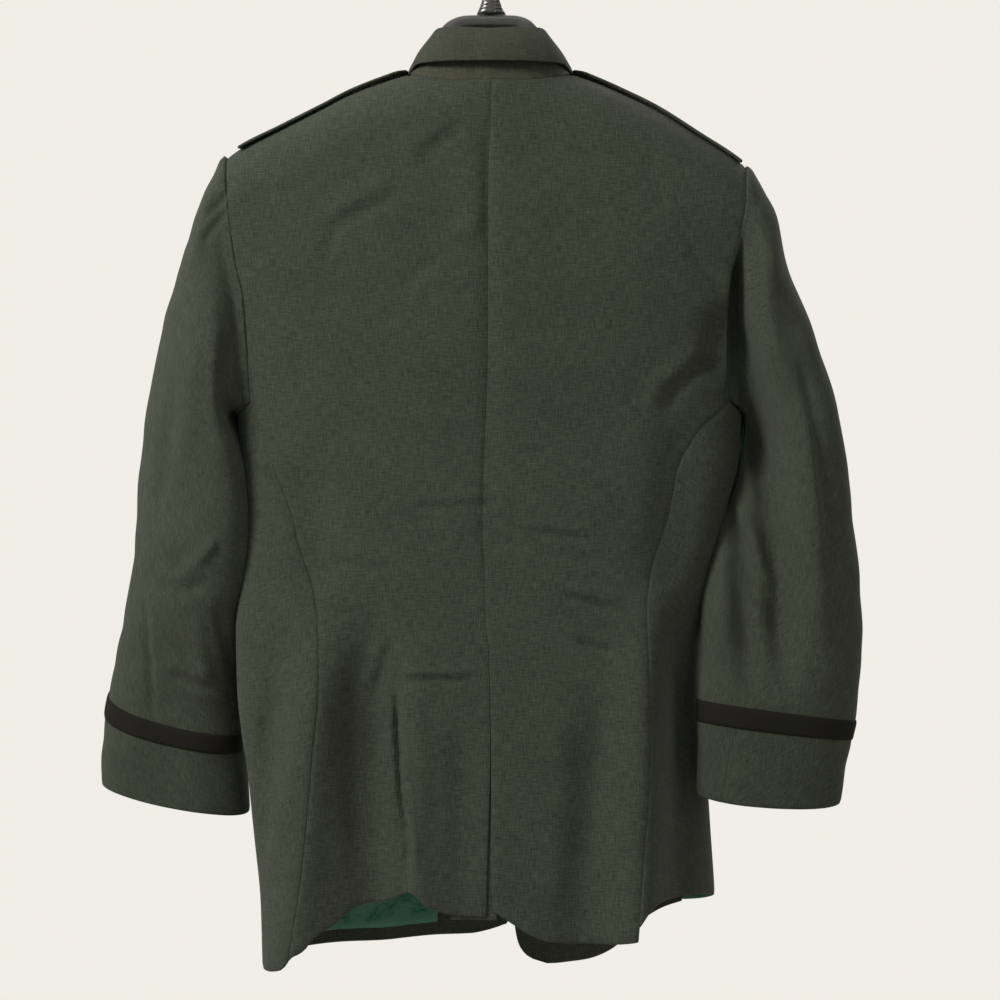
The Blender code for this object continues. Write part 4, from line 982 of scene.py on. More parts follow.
@dataclass
class Body:
    """Back, side and front panels of one half of the coat, with their linings.

    Attributes:
        side: Which half.
        columns: Lines across a back or front panel.
        side_columns: Lines across a side panel.
        shoulder_rows: Rows over the rounding of the shoulder.
        chest_rows: Rows from there to the underarm.
        waist_rows: Rows from the underarm to the waist.
        skirt_rows: Rows from the waist to the hem.
        lap: Width of the vent's underlap.
        lap_depth: How far the right front runs under the left one.
        seam_roll: How far a panel rolls in at its seams.
        lining_wall: Thickness of the satin.
        lining_gap: How far the front lining lies inside the cloth.
        lining_hem: How far its hem is turned up.
        lining_from: Share of the left and right front where the facing ends and it starts.
        back_lining_gap: How far the back lining lies inside the cloth.
        back_lining_hem: How far its hem is turned up.
    """

    side: Side
    columns: int = 62
    side_columns: int = 26
    shoulder_rows: int = 16
    chest_rows: int = 58
    waist_rows: int = 46
    skirt_rows: int = 92
    lap: float = 0.032
    lap_depth: float = 0.0031
    seam_roll: float = 0.0008
    lining_wall: float = 0.0006
    lining_gap: float = 0.0012
    lining_hem: float = 0.011
    lining_from: tuple[float, float] = (0.33, 0.80)
    back_lining_gap: float = 0.0085
    back_lining_hem: float = 0.022

    @property
    def back_edge(self) -> Table:
        """Side seam of the back panel."""
        return self.side.pick(BACK_EDGE_LEFT, BACK_EDGE_RIGHT)

    @property
    def front_edge(self) -> Table:
        """Side seam of the front panel."""
        return self.side.pick(FRONT_EDGE_LEFT, FRONT_EDGE_RIGHT)

    def heights(self, top: Array, low: Array) -> Array:
        """Heights of all rows of a panel under its top edge.

        Args:
            top: Heights of the top edge.
            low: Heights of the hem.

        Returns:
            Heights of all rows.
        """
        turn = np.linspace(0, math.pi / 2, self.shoulder_rows)
        drops = FORM.shoulder_radius * (1 - np.cos(turn))
        rows = [top - drop for drop in drops]
        chest = top - FORM.shoulder_radius
        rows += [chest + (FORM.underarm - chest) * k / self.chest_rows
                 for k in range(1, self.chest_rows + 1)]
        return np.array(rows + self.lower(np.full_like(top, FORM.underarm), low))

    def lower(self, top: Array, low: Array) -> list[Array]:
        """Heights of the rows from the underarm to the hem.

        Args:
            top: Heights at the underarm.
            low: Heights of the hem.

        Returns:
            Heights of each row.
        """
        rows = [top + (FORM.waist - top) * k / self.waist_rows
                for k in range(1, self.waist_rows + 1)]
        shares = np.linspace(0, 1, self.skirt_rows + 1)[1:-1]
        shares = np.concatenate([shares, [0.9955, 1.0]])
        return rows + [FORM.waist + (low - FORM.waist) * share for share in shares]

    def solve(self, shares: Array, inner: Callable, outer: Callable, hem_rows: Table,
              top: Callable) -> tuple[Array, Array]:
        """Grid whose rows follow the top edge and the hem.

        Args:
            shares: Shares across the panel.
            inner: Signed X of the panel's inner edge at a height.
            outer: Signed X of its outer edge at a height.
            hem_rows: Table of the hem.
            top: Height of the top edge at a signed X.

        Returns:
            X and Z of the grid.
        """
        start = np.full_like(shares, -0.2)
        x_top = inner(start) * (1 - shares) + outer(start) * shares
        x_low = x_top.copy()
        for _ in range(30):
            z_top = top(x_top)
            z_low = hem_height(hem_rows, x_low * self.side.sign)
            x_top = inner(z_top) * (1 - shares) + outer(z_top) * shares
            x_low = inner(z_low) * (1 - shares) + outer(z_low) * shares
        z = self.heights(z_top, z_low)
        return inner(z) * (1 - shares) + outer(z) * shares, z

    def centre_line(self, z: Array) -> Array:
        """Signed X of the back's inner edge: the centre seam, then the vent.

        Args:
            z: Heights.

        Returns:
            The signed X.
        """
        seam = place(CENTRE_BACK, z)
        if self.side is Side.LEFT:
            return seam
        return seam - np.where(z < VENT_TOP, place(VENT_GAP, z), 0.0)

    def back_grid(self) -> tuple[Array, Array, Array]:
        """Points of the back panel, with their X and Z.

        Returns:
            The points, their X and their Z.
        """
        sign = self.side.sign
        hem_rows = self.side.pick(HEM_BACK_LEFT, HEM_BACK_RIGHT)
        x, z = self.solve(grid_shares(self.columns), self.centre_line,
                          lambda h: sign * place(self.back_edge, h),
                          hem_rows, FORM.top_height)
        points = FORM.body_point(x, z, 1)
        return points, x, z

    def side_grid(self) -> Array:
        """Points of the side panel, from its back seam round to its front seam.

        Returns:
            The points.
        """
        sign = self.side.sign
        shares = grid_shares(self.side_columns, (0.01, 0.035))
        under = FORM.underarm - 0.012 * np.sin(np.pi * shares)
        low = smooth(column(SIDE_HEM, 0, 1.0), column(SIDE_HEM, 1 if sign > 0 else 2), shares)
        z = np.array([under] + self.lower(under, low))
        start = FORM.ring_angle(sign * place(self.back_edge, z), z)
        end = np.pi - FORM.ring_angle(sign * place(self.front_edge, z), z)
        return FORM.side_point(start + (end - start) * shares, z, sign)

    def opening(self, z: Array) -> Array:
        """Signed X of a front's edge: the roll line down to the top button, then the lap."""
        return self.side.sign * place(self.side.pick(OPENING_LEFT, OPENING_RIGHT), z)

    def front_surface(self, x: Array, z: Array) -> Array:
        """Outer surface of a front; the right one runs under the left one where they lap.

        Args:
            x: Places across.
            z: Places up.

        Returns:
            The points.
        """
        points = FORM.body_point(x, z, -1)
        if self.side is Side.RIGHT:
            under = ease((x + 0.045) / 0.020) * ease((-0.30 - z) / 0.06)
            points[..., 1] += self.lap_depth * under
        return points

    def front_grid(self) -> tuple[Array, Array, Array]:
        """Points of the front panel, with their X and Z.

        Returns:
            The points, their X and their Z.
        """
        sign = self.side.sign
        hem_rows = self.side.pick(HEM_FRONT_LEFT, HEM_FRONT_RIGHT)
        x, z = self.solve(grid_shares(self.columns), self.opening,
                          lambda h: sign * place(self.front_edge, h),
                          hem_rows, FORM.shoulder_height)
        return self.front_surface(x, z), x, z

    def inside(self) -> Array:
        """A point inside this half of the body."""
        return np.array([self.side.sign * 0.10, 0.0, -0.6])

    def build(self, finishes: "Finishes") -> None:
        """Build the three panels, the underlap and the linings.

        Args:
            finishes: The coat's finishes.
        """
        label = self.side.label
        roll = self.seam_roll
        back, back_x, back_z = self.back_grid()
        cut = Cloth(f"back_panel_{label}", back, FORM.wall, self.inside(),
                    turn_in=(roll, 0.0006, roll, roll),
                    grain=np.stack([back_x, back_z], -1))
        declare(cut.build(finishes.wool, finishes.satin), cut, [f"back_{label}"])
        side = self.side_grid()
        cut = Cloth(f"side_panel_{label}", side, FORM.wall, np.array([0.0, 0.0, -0.7]),
                    turn_in=(roll, 0.0006, roll, roll))
        declare(cut.build(finishes.wool, finishes.satin), cut, [f"side_{label}"])
        front, front_x, front_z = self.front_grid()
        cut = Cloth(f"front_panel_{label}", front, FORM.wall, self.inside(),
                    turn_in=(roll, 0.0006, 0.0005, roll),
                    grain=np.stack([front_x, front_z], -1))
        declare(cut.build(finishes.wool), cut, [f"front_{label}"])
        if self.side is Side.RIGHT:
            self.build_underlap(finishes)
        self.build_front_lining(front_x, front_z, finishes)
        self.build_back_lining(back_x, back_z, finishes)

    def build_underlap(self, finishes: "Finishes") -> None:
        """Underlap of the vent, behind its left edge.

        Args:
            finishes: The coat's finishes.
        """
        low = hem_height(HEM_BACK_LEFT, np.array(0.012)) - 0.003
        z = np.linspace(VENT_TOP + 0.004, float(low), 70)[:, None]
        share = grid_shares(12, (0.03,))[None, :]
        start = place(CENTRE_BACK, z) - place(VENT_GAP, z) - 0.003
        x = start + (place(CENTRE_BACK, z) + self.lap - start) * share
        points = FORM.body_point(x, z + 0 * share, 1)
        points[..., 1] -= 0.0030
        cut = Cloth("vent_underlap", points, FORM.wall, self.inside())
        declare(cut.build(finishes.wool, finishes.satin), cut, [])

    def build_front_lining(self, x: Array, z: Array, finishes: "Finishes") -> None:
        """Loose satin lining inside the front, above its turned-up hem.

        Args:
            x: X of the front's points.
            z: Z of them.
            finishes: The coat's finishes.
        """
        first = int(x.shape[1] * self.side.pick(*self.lining_from))
        last = int(x.shape[1] * 0.97)
        start = self.shoulder_rows + self.chest_rows + self.waist_rows // 2
        across = x[start::2, first:last]
        height = z[start::2, first:last].copy()
        share = np.linspace(0, 1, len(height))[:, None]
        height = height + self.lining_hem * ease((share - 0.6) / 0.4)
        points = self.front_surface(across, height)
        sag = (0.0016 * unevenness(across * 1.6, height, 0.055, 4.0)
               + 0.0011 * unevenness(across, height, 0.024, 7.0))
        points[..., 1] += FORM.wall + self.lining_gap + 0.0022 + sag
        cut = Cloth(f"front_lining_{self.side.label}", points, self.lining_wall,
                    np.array([0.0, -1.0, -0.7]))
        piece = cut.build(finishes.satin)
        declare(piece, cut, [f"lining_{self.side.label}"])

    def build_back_lining(self, x: Array, z: Array, finishes: "Finishes") -> None:
        """Satin lining inside the back, seen through the neck and over the hem.

        Args:
            x: X of the back's points.
            z: Z of them.
            finishes: The coat's finishes.
        """
        across = x[2:-3:2, ::2]
        height = z[2:-3:2, ::2].copy()
        share = np.linspace(0, 1, len(height))[:, None]
        height = height + self.back_lining_hem * ease((share - 0.7) / 0.3)
        points = FORM.body_point(across, height, 1)
        sag = 0.0012 * unevenness(across, height, 0.06, 5.0)
        points[..., 1] -= FORM.wall + self.back_lining_gap + sag
        points[..., 1] = np.maximum(points[..., 1], 0.001)
        cut = Cloth(f"back_lining_{self.side.label}", points, self.lining_wall,
                    np.array([0.0, 1.0, -0.7]))
        piece = cut.build(finishes.satin)
        declare(piece, cut, [])


@dataclass
class Sleeve:
    """Top sleeve, under sleeve and cuff braid of one arm.

    Attributes:
        side: Which arm.
        around: Points round the braid.
        down: Rows from the armhole to the cuff.
        hind: Where the hind seam meets the armhole, on the loop's own count.
        fore: Where the fore seam meets it.
        loop_count: Count of the whole loop, which starts at the shoulder tip.
        round_end: Count where the shoulder's rounding ends.
        back_corner: Count at the underarm corner of the back.
        front_corner: Count at the underarm corner of the front.
        overlap: How far the under sleeve reaches past both seams, on that count.
        seam_roll: How far a cut rolls in at its seams.
        wool_head: Rows under the armhole whose inner face is wool.
        wool_cuff: Rows over the cuff's edge whose inner face is wool.
        braid_rows: Shares of the sleeve's rows between which the braid lies.
        braid_lift: How far the braid's outer face lies off the cloth.
        braid_wall: Thickness of the braid.
    """

    side: Side
    around: int = 150
    down: int = 176
    hind: float = 6.0
    fore: float = 19.0
    loop_count: float = 25.0
    round_end: float = 5.0
    back_corner: float = 10.0
    front_corner: float = 15.0
    overlap: float = 0.14
    seam_roll: float = 0.0005
    wool_head: int = 34
    wool_cuff: int = 12
    braid_rows: tuple[float, float] = (15 / 18, 16 / 18)
    braid_lift: float = 0.0014
    braid_wall: float = 0.0012

    def armhole(self, t: Array) -> Array:
        """Edge of the armhole: down the back, under the arm and up the front.

        Args:
            t: Places on the loop's count.

        Returns:
            Points of the edge.
        """
        sign = self.side.sign
        back_rows = self.side.pick(BACK_EDGE_LEFT, BACK_EDGE_RIGHT)
        front_rows = self.side.pick(FRONT_EDGE_LEFT, FRONT_EDGE_RIGHT)
        tip = float(FORM.shoulder_height(np.array(sign * place(back_rows, np.array(-0.215)))))
        chest = tip - FORM.shoulder_radius
        t = np.mod(t, self.loop_count)
        behind = t <= self.back_corner
        low = np.where(behind, t, self.loop_count - t)
        end = self.round_end
        rounding = tip - FORM.shoulder_radius * (1 - np.cos(np.minimum(low, end) * math.pi / 10))
        z = np.where(low <= end, rounding, chest + (FORM.underarm - chest) * (low - end) / 5)
        share = np.clip((t - self.back_corner) / 5, 0, 1)
        under = (t > self.back_corner) & (t < self.front_corner)
        z_under = FORM.underarm - 0.012 * np.sin(np.pi * share)
        back = FORM.body_point(sign * place(back_rows, z), z, 1)
        front = FORM.body_point(sign * place(front_rows, z), z, -1)
        start = FORM.ring_angle(sign * place(back_rows, z_under), z_under)
        end = np.pi - FORM.ring_angle(sign * place(front_rows, z_under), z_under)
        below = FORM.side_point(start + (end - start) * share, z_under, sign)
        points = np.where(behind[:, None], back, front)
        return np.where(under[:, None], below, points)

    def rings(self, t: Array) -> Array:
        """Control rings from the armhole to the cuff at places on the loop.

        Args:
            t: Places on the loop's count.

        Returns:
            The rings.
        """
        rows = self.side.pick(SLEEVE_LEFT, SLEEVE_RIGHT)
        sign = self.side.sign
        loop = self.armhole(t)
        ends = self.armhole(np.array([0.0, (self.back_corner + self.front_corner) / 2]))
        outer0 = ends[0, [0, 2]]
        inner0 = ends[1, [0, 2]]
        centre0 = (outer0 + inner0) / 2
        half0 = np.linalg.norm(outer0 - inner0) / 2
        axis0 = (outer0 - inner0) / (2 * half0)
        away0 = np.array([-axis0[1], axis0[0]])
        away0 *= np.sign(away0[0]) * sign
        flat = loop[:, [0, 2]] - centre0
        across = flat @ axis0 / half0
        away = flat @ away0
        whole = self.armhole(np.linspace(0, self.loop_count, 100))
        front_back = loop[:, 1] / np.abs(whole[:, 1]).max()
        shares = column(SLEEVE_SEAMS, 0, 1.0)
        hinds = column(SLEEVE_SEAMS, 1 if sign > 0 else 2, 1.0)
        fores = column(SLEEVE_SEAMS, 3, 1.0)
        tucked = loop * np.array([1.0, 0.965, 1.0]) - np.array([sign * 0.0030, 0, 0.0012])
        controls = [tucked, loop + np.array([sign * 0.0035, 0, 0])]
        for index, row in enumerate(rows):
            outer_x, outer_z, inner_x, inner_z, depth, middle, twist, dip = row
            share = index / (len(rows) - 1)
            hind = np.radians(smooth(shares, hinds, np.array(share)))
            fore = np.radians(smooth(shares, fores, np.array(share))) + 2 * math.pi
            span = self.loop_count - self.fore + self.hind
            before = np.where(t > self.hind, t - self.loop_count, t)
            top = hind + (before - self.hind) / span * (hind - fore + 2 * math.pi)
            lower = hind + (t - self.hind) / (self.fore - self.hind) * (fore - hind)
            turn = np.where((t > self.hind) & (t < self.fore), lower, top)
            outer = np.array([sign * outer_x, outer_z]) * MM
            inner = np.array([sign * inner_x, inner_z]) * MM
            centre = (outer + inner) / 2
            half = np.linalg.norm(outer - inner) / 2
            axis = (outer - inner) / (2 * half)
            normal = np.array([-axis[1], axis[0]])
            normal *= np.sign(normal[0]) * sign
            blend = float(ease(np.array((index + 0.5) / 5)))
            cosine = np.cos(turn)
            sine = np.sin(turn)
            u = across * (1 - blend) + np.sign(cosine) * np.abs(cosine) ** 0.92 * blend
            v = front_back * (1 - blend) + np.sign(sine) * np.abs(sine) ** 0.92 * blend
            flat_place = centre + half * u[:, None] * axis + (away * (1 - blend))[:, None] * normal
            y = (middle + depth * v - twist * u) * MM
            controls.append(np.stack([flat_place[:, 0], y, flat_place[:, 1] - dip * MM * v], -1))
        return np.array(controls)

    def middle_line(self) -> Array:
        """Middle of the sleeve at each of its rows."""
        around = np.linspace(0, self.loop_count, 61)[:-1]
        return curve_rows(self.rings(around), self.down).mean(axis=1)

    def grid(self, t: Array) -> Array:
        """Fine creased points of the sleeve at places on the loop.

        Args:
            t: Places on the loop's count.

        Returns:
            The points.
        """
        points = curve_rows(self.rings(t), self.down)
        away = points - self.middle_line()[:, None]
        away[..., 2] *= 0.25
        away = unit(away)
        x = points[..., 0]
        z = points[..., 2]
        share = np.linspace(0, 1, self.down)[:, None]
        behind = ease((away[..., 1] + 0.25) / 0.6)
        ahead = ease((-away[..., 1] + 0.1) / 0.6)
        folds = self.side.pick(SLEEVE_FOLDS_LEFT, SLEEVE_FOLDS_RIGHT)
        creases = self.side.pick(SLEEVE_CREASES_LEFT, SLEEVE_CREASES_RIGHT)
        front = self.side.pick(SLEEVE_FRONT_CREASES_LEFT, SLEEVE_FRONT_CREASES_RIGHT)
        fade = ease(share / 0.05)
        points[..., 1] += behind * FORM.relief(x, z, folds) * fade
        amount = behind * lift_of(creases, x, z) + ahead * lift_of(front, x, z)
        amount = amount + 0.0013 * unevenness(x, z + points[..., 1], 0.13, 3.0 + self.side.sign)
        head = 0.0016 * np.exp(-((share - 0.028) / 0.016) ** 2)
        return points + away * (amount * fade * ease((1 - share) / 0.02 + 0.4) + head)[..., None]

    def build(self, finishes: "Finishes") -> None:
        """Build both sleeve cuts and the braid.

        Args:
            finishes: The coat's finishes.
        """
        label = self.side.label
        upper = np.concatenate([np.linspace(self.fore, self.loop_count, 40)[:-1],
                                np.linspace(0, self.hind, 40)])
        lower = np.linspace(self.hind - self.overlap, self.fore + self.overlap, 78)
        centre = np.array([self.side.sign * 0.28, 0.0, -0.55])
        strip = np.ones(self.down - 1, int)
        strip[-self.wool_cuff:] = 0
        strip[:self.wool_head] = 0
        for name, places in (("top_sleeve", self.with_edges(upper)),
                             ("under_sleeve", self.with_edges(lower))):
            points = self.grid(places)
            cut = SleeveCloth(f"{name}_cut_{label}", points, FORM.wall, centre, inner_rows=strip,
                              turn_in=(0.0, 0.0004, self.seam_roll, self.seam_roll))
            cut.axis = self.middle_line()
            piece = cut.build(finishes.wool, finishes.satin)
            declare(piece, cut, [f"{name}_{label}"])
        self.build_braid(finishes)

    def with_edges(self, places: Array) -> Array:
        """Add lines close to both ends of a cut, where its seams roll in.

        Args:
            places: Places on the loop's count.

        Returns:
            All places.
        """
        span = self.loop_count if places[0] > places[-1] else 0.0
        whole = places.copy()
        if span:
            whole = np.where(whole < self.fore - 1e-6, whole + span, whole)
        step = 0.16
        extra = np.array([whole[0] + step * k for k in (0.35, 1.0)])
        extra_last = np.array([whole[-1] - step * k for k in (1.0, 0.35)])
        rest = whole[(whole > extra[-1] + 0.05) & (whole < extra_last[0] - 0.05)]
        whole = np.concatenate([whole[:1], extra, rest, extra_last, whole[-1:]])
        return np.mod(whole, self.loop_count)

    def build_braid(self, finishes: "Finishes") -> None:
        """Flat braid sewn round the cuff, at the height of its solid.

        Args:
            finishes: The coat's finishes.
        """
        places = np.linspace(0, self.loop_count, self.around + 1)[:-1]
        grid = self.grid(places)
        start, end = self.braid_rows
        rows_at = np.linspace((len(grid) - 1) * start, (len(grid) - 1) * end, 11)
        low = np.floor(rows_at).astype(int)
        part = (rows_at - low)[:, None, None]
        strip = grid[low] * (1 - part) + grid[np.minimum(low + 1, len(grid) - 1)] * part
        centre = strip.mean(axis=1, keepdims=True)
        away = strip - centre
        away[..., 2] = 0
        across = np.linspace(-1, 1, len(strip))[:, None, None]
        points = strip + unit(away) * (self.braid_lift + 0.0002 * (1 - across ** 2))
        cut = SleeveCloth(f"cuff_braid_{self.side.label}", points, self.braid_wall, centre[5, 0],
                          closed=True, turn_in=(0.0005, 0.0005, 0.0, 0.0), turn_width=0.0014)
        cut.axis = centre[:, 0]
        piece = cut.build(finishes.braid)
        declare(piece, cut, [f"braid_{self.side.label}"])


def moved_out(surface: Callable, first: Array, second: Array, distance: Array) -> Array:
    """Points of a surface moved along its outward normal.

    Args:
        surface: Function of two coordinates that gives the surface's points.
        first: First coordinate.
        second: Second coordinate.
        distance: How far to move, under zero for inwards.

    Returns:
        The moved points.
    """
    step = 0.0015
    centre = surface(first, second)
    along = surface(first + step, second) - surface(first - step, second)
    across = surface(first, second + step) - surface(first, second - step)
    normal = unit(np.cross(along, across))
    facing = np.sign(np.sum(normal * centre * np.array([0.25, 1.0, 0.0]), axis=-1, keepdims=True))
    return centre + normal * facing * np.asarray(distance)[..., None]


@dataclass
class FrontTrim:
    """Lapel and lower pocket flap of one front.

    Attributes:
        body: The half that carries them.
        lapel_top: Height of the lapel's upper edge at the roll and at its point.
        lapel_low: Height where the lapel ends at the top button.
        lapel_roll: How far the lapel swells off the front.
        laid_on: Gap under a laid piece.
        flap_top: Height of the flap's upper edge at its front end.
        flap_tall: Height of the flap there.
        flap_start: Distance of its front end from the centre plane.
        flap_end: Angle of its side end from the centre back, in degrees.
    """

    body: Body
    lapel_top: tuple[float, float] = (-0.160, -0.198)
    lapel_low: float = -0.377
    lapel_roll: float = 0.0022
    laid_on: float = 0.0006
    flap_top: float = -0.706
    flap_tall: float = 0.072
    flap_start: float = 0.085
    flap_end: float = 101.0

    def build(self, finishes: "Finishes") -> None:
        """Build the lapel and the pocket flap."""
        self.build_lapel(finishes)
        self.build_flap(finishes)

    def build_lapel(self, finishes: "Finishes") -> None:
        """Lapel that rolls back over the front.

        Args:
            finishes: The coat's finishes.
        """
        sign = self.body.side.sign
        label = self.body.side.label
        shares = grid_shares(26, (0.012, 0.035))
        top = self.lapel_top[0] + (self.lapel_top[1] - self.lapel_top[0]) * shares
        steps = grid_shares(70, (0.004, 0.012))[:, None]
        z = top + (self.lapel_low - top) * steps
        roll = self.body.opening(z) * sign + 0.0005
        outer = np.maximum(place(LAPEL_OUTER, z), roll + 0.003)
        x = sign * (roll + (outer - roll) * shares)
        swell = self.lapel_roll * np.sin(np.pi * np.sqrt(shares))
        lift = FORM.wall + 2 * self.laid_on + swell + 0 * z
        lift = lift + 0.0008 * unevenness(x, z, 0.09, 6.0 + sign) * ease(shares / 0.3)
        points = moved_out(self.body.front_surface, x, z, lift)
        cut = Cloth(f"lapel_cut_{label}", points, FORM.wall, self.body.inside(),
                    turn_in=(0.0005, 0.0005, 0.0012, 0.0006))
        piece = cut.build(finishes.wool)
        declare(piece, cut, [f"lapel_{label}"])

    def build_flap(self, finishes: "Finishes") -> None:
        """Lower pocket flap, laid on the front and turned round to the side.

        Args:
            finishes: The coat's finishes.
        """
        sign = self.body.side.sign
        label = self.body.side.label
        shares = grid_shares(40, (0.01, 0.025))[None, :]
        rows = grid_shares(18, (0.02, 0.05))[:, None]
        z = self.flap_top - 0.006 * shares - (self.flap_tall - 0.003 * shares) * rows
        inner = np.pi - FORM.ring_angle(np.full_like(z, sign * self.flap_start), z)
        outer = np.full_like(z, np.radians(self.flap_end))
        angle = inner + (outer - inner) * shares
        lift = FORM.wall + self.laid_on + 0.002 * rows
        lift = lift + 0.0040 * ease((shares - 0.7) / 0.3) + 0 * z
        points = moved_out(lambda a, h: FORM.side_point(a, h, sign), angle, z, lift)
        cut = Cloth(f"pocket_flap_cut_{label}", points, FORM.wall * 1.25,
                    np.array([0.0, 0.0, -0.74]), turn_in=(0.0004, 0.0007, 0.0007, 0.0007))
        piece = cut.build(finishes.wool)
        declare(piece, cut, [f"pocket_flap_{label}"])


@dataclass
class Collar:
    """Stand against the neck and the fall that rolls down over it.

    Attributes:
        columns: Lines along the collar.
        stand_in: How far the stand's top lies inside the roll.
        stand_down: How far it lies under the roll.
        bulge: How far the fall swells out between the roll and its edge.
        tuck_in: How far the stand's lower edge turns in behind the neck seam.
        tuck_down: How far it reaches down there.
    """

    columns: int = 150
    stand_in: float = 0.0035
    stand_down: float = 0.004
    bulge: float = 0.0035
    tuck_in: float = 0.0026
    tuck_down: float = 0.0075

    def curves(self) -> list[Array]:
        """Neck seam, roll and fall edge from the right front to the left front.

        Returns:
            The three lines.
        """
        share = np.linspace(-1, 1, self.columns)
        keys = column(COLLAR, 0, 1.0)
        result = []
        for first in (1, 4, 7):
            axes = [smooth(keys, column(COLLAR, first + k), np.abs(share)) for k in range(3)]
            axes[0] = axes[0] * np.sign(share)
            result.append(np.stack(axes, -1))
        return result

    def build(self, finishes: "Finishes") -> None:
        """Build the stand and the fall.

        Args:
            finishes: The coat's finishes.
        """
        seam, roll, edge = self.curves()
        centre = np.array([0.0, -0.004, -0.12])
        level = np.array([1, 1, 0])
        inward = unit(roll * level)
        stand_top = roll - inward * self.stand_in - np.array([0, 0, self.stand_down])
        steps = grid_shares(16, (0.02, 0.05))[:, None, None]
        hem = seam - unit(seam * level) * self.tuck_in - np.array([0, 0, self.tuck_down])
        turned = hem + (seam - hem) * np.linspace(0, 1, 6)[:-1, None, None]
        stand = np.concatenate([turned, seam + (stand_top - seam) * steps])
        cut = Cloth("collar_stand_cut", stand, 0.0018, centre,
                    turn_in=(0.0010, 0.0, 0.0004, 0.0004))
        piece = cut.build(finishes.under_wool)
        declare(piece, cut, ["collar_stand"])
        outward = unit(edge * level)
        steps = grid_shares(24, (0.012, 0.035))[:, None, None]
        fall = roll + (edge - roll) * steps + outward * self.bulge * np.sin(np.pi * steps)
        waves = 0.0007 * unevenness(fall[..., 0], fall[..., 2], 0.07, 8.0)[..., None]
        fall = fall + outward * waves * np.sin(np.pi * steps * 0.9)
        tuck = np.linspace(0, 1, 7)[:-1, None, None]
        start = stand_top + inward * 0.0004
        rise = np.array([0, 0, 0.0028]) * np.sin(np.pi * tuck) * 0.8
        points = np.concatenate([start + (roll - start) * tuck + rise, fall])
        cut = Cloth("collar_fall_cut", points, FORM.wall, centre,
                    turn_in=(0.0, 0.0005, 0.0006, 0.0006))
        # The fall takes the wool painted a little darker: painted shade.
        piece = cut.build(finishes.collar_wool_painted_shade)
        declare(piece, cut, ["collar_fall"])


@dataclass
class ShoulderLoop:
    """Shoulder loop sewn at the armhole and buttoned by the collar.

    Attributes:
        side: Which shoulder.
        reach: Distance of its armhole end and its collar end from the centre plane.
        half_width: Half its width at those ends.
        laid_on: Gap under its armhole end.
        lift: How much more the collar end stands off the shoulder.
        forward: How far the collar end lies forward.
        wall: Thickness of the doubled cloth.
        button_radius: Radius of its button.
    """

    side: Side
    reach: tuple[float, float] = (0.240, 0.080)
    half_width: tuple[float, float] = (0.024, 0.018)
    laid_on: float = 0.0006
    lift: float = 0.0040
    forward: float = 0.008
    wall: float = 0.0024
    button_radius: float = 0.0085

    def surface(self, along: Array, across: Array) -> Array:
        """Outer points of the loop, its collar end rounded to a blunt point.

        Args:
            along: Shares from the armhole end.
            across: -1 to 1 over the width.

        Returns:
            The points.
        """
        sign = self.side.sign
        start, end = self.reach
        point = 0.010 * ease((along - 0.86) / 0.14) * np.abs(across) ** 2.2
        x = start + (end - start) * along + point
        half = self.half_width[0] + (self.half_width[1] - self.half_width[0]) * along
        y = half * across - self.forward * along
        rise = self.laid_on + self.lift * along
        z = FORM.shoulder_height(sign * x) + rise + self.wall - 4.0 * y * y
        return np.stack([sign * x, y, z + 0 * x], -1)

    def build(self, finishes: "Finishes") -> None:
        """Build the loop and its button.

        Args:
            finishes: The coat's finishes.
        """
        label = self.side.label
        along = grid_shares(52, (0.006, 0.018))[:, None]
        across = (2 * grid_shares(20, (0.02, 0.05)) - 1)[None, :]
        points = self.surface(along + 0 * across, across + 0 * along)
        below = points.mean(axis=(0, 1)) - np.array([0, 0, 0.1])
        cut = Cloth(f"shoulder_loop_cut_{label}", points, self.wall, below,
                    turn_in=(0.0, 0.0007, 0.0007, 0.0007))
        piece = cut.build(finishes.wool)
        declare(piece, cut, [f"shoulder_loop_{label}"])
        low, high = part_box(f"loop_button_{label}")
        start, end = self.reach
        share = (start - abs(low[0] + high[0]) / 2) / (start - end)
        seat = self.surface(np.array(share), np.array(-0.45)) + np.array([0, 0, 0.0006])
        tilt = self.side.sign * 0.42
        Button(f"loop_button_cap_{label}", f"loop_button_{label}", self.button_radius).build(
            seat, (0.0, tilt, 0.0), finishes)


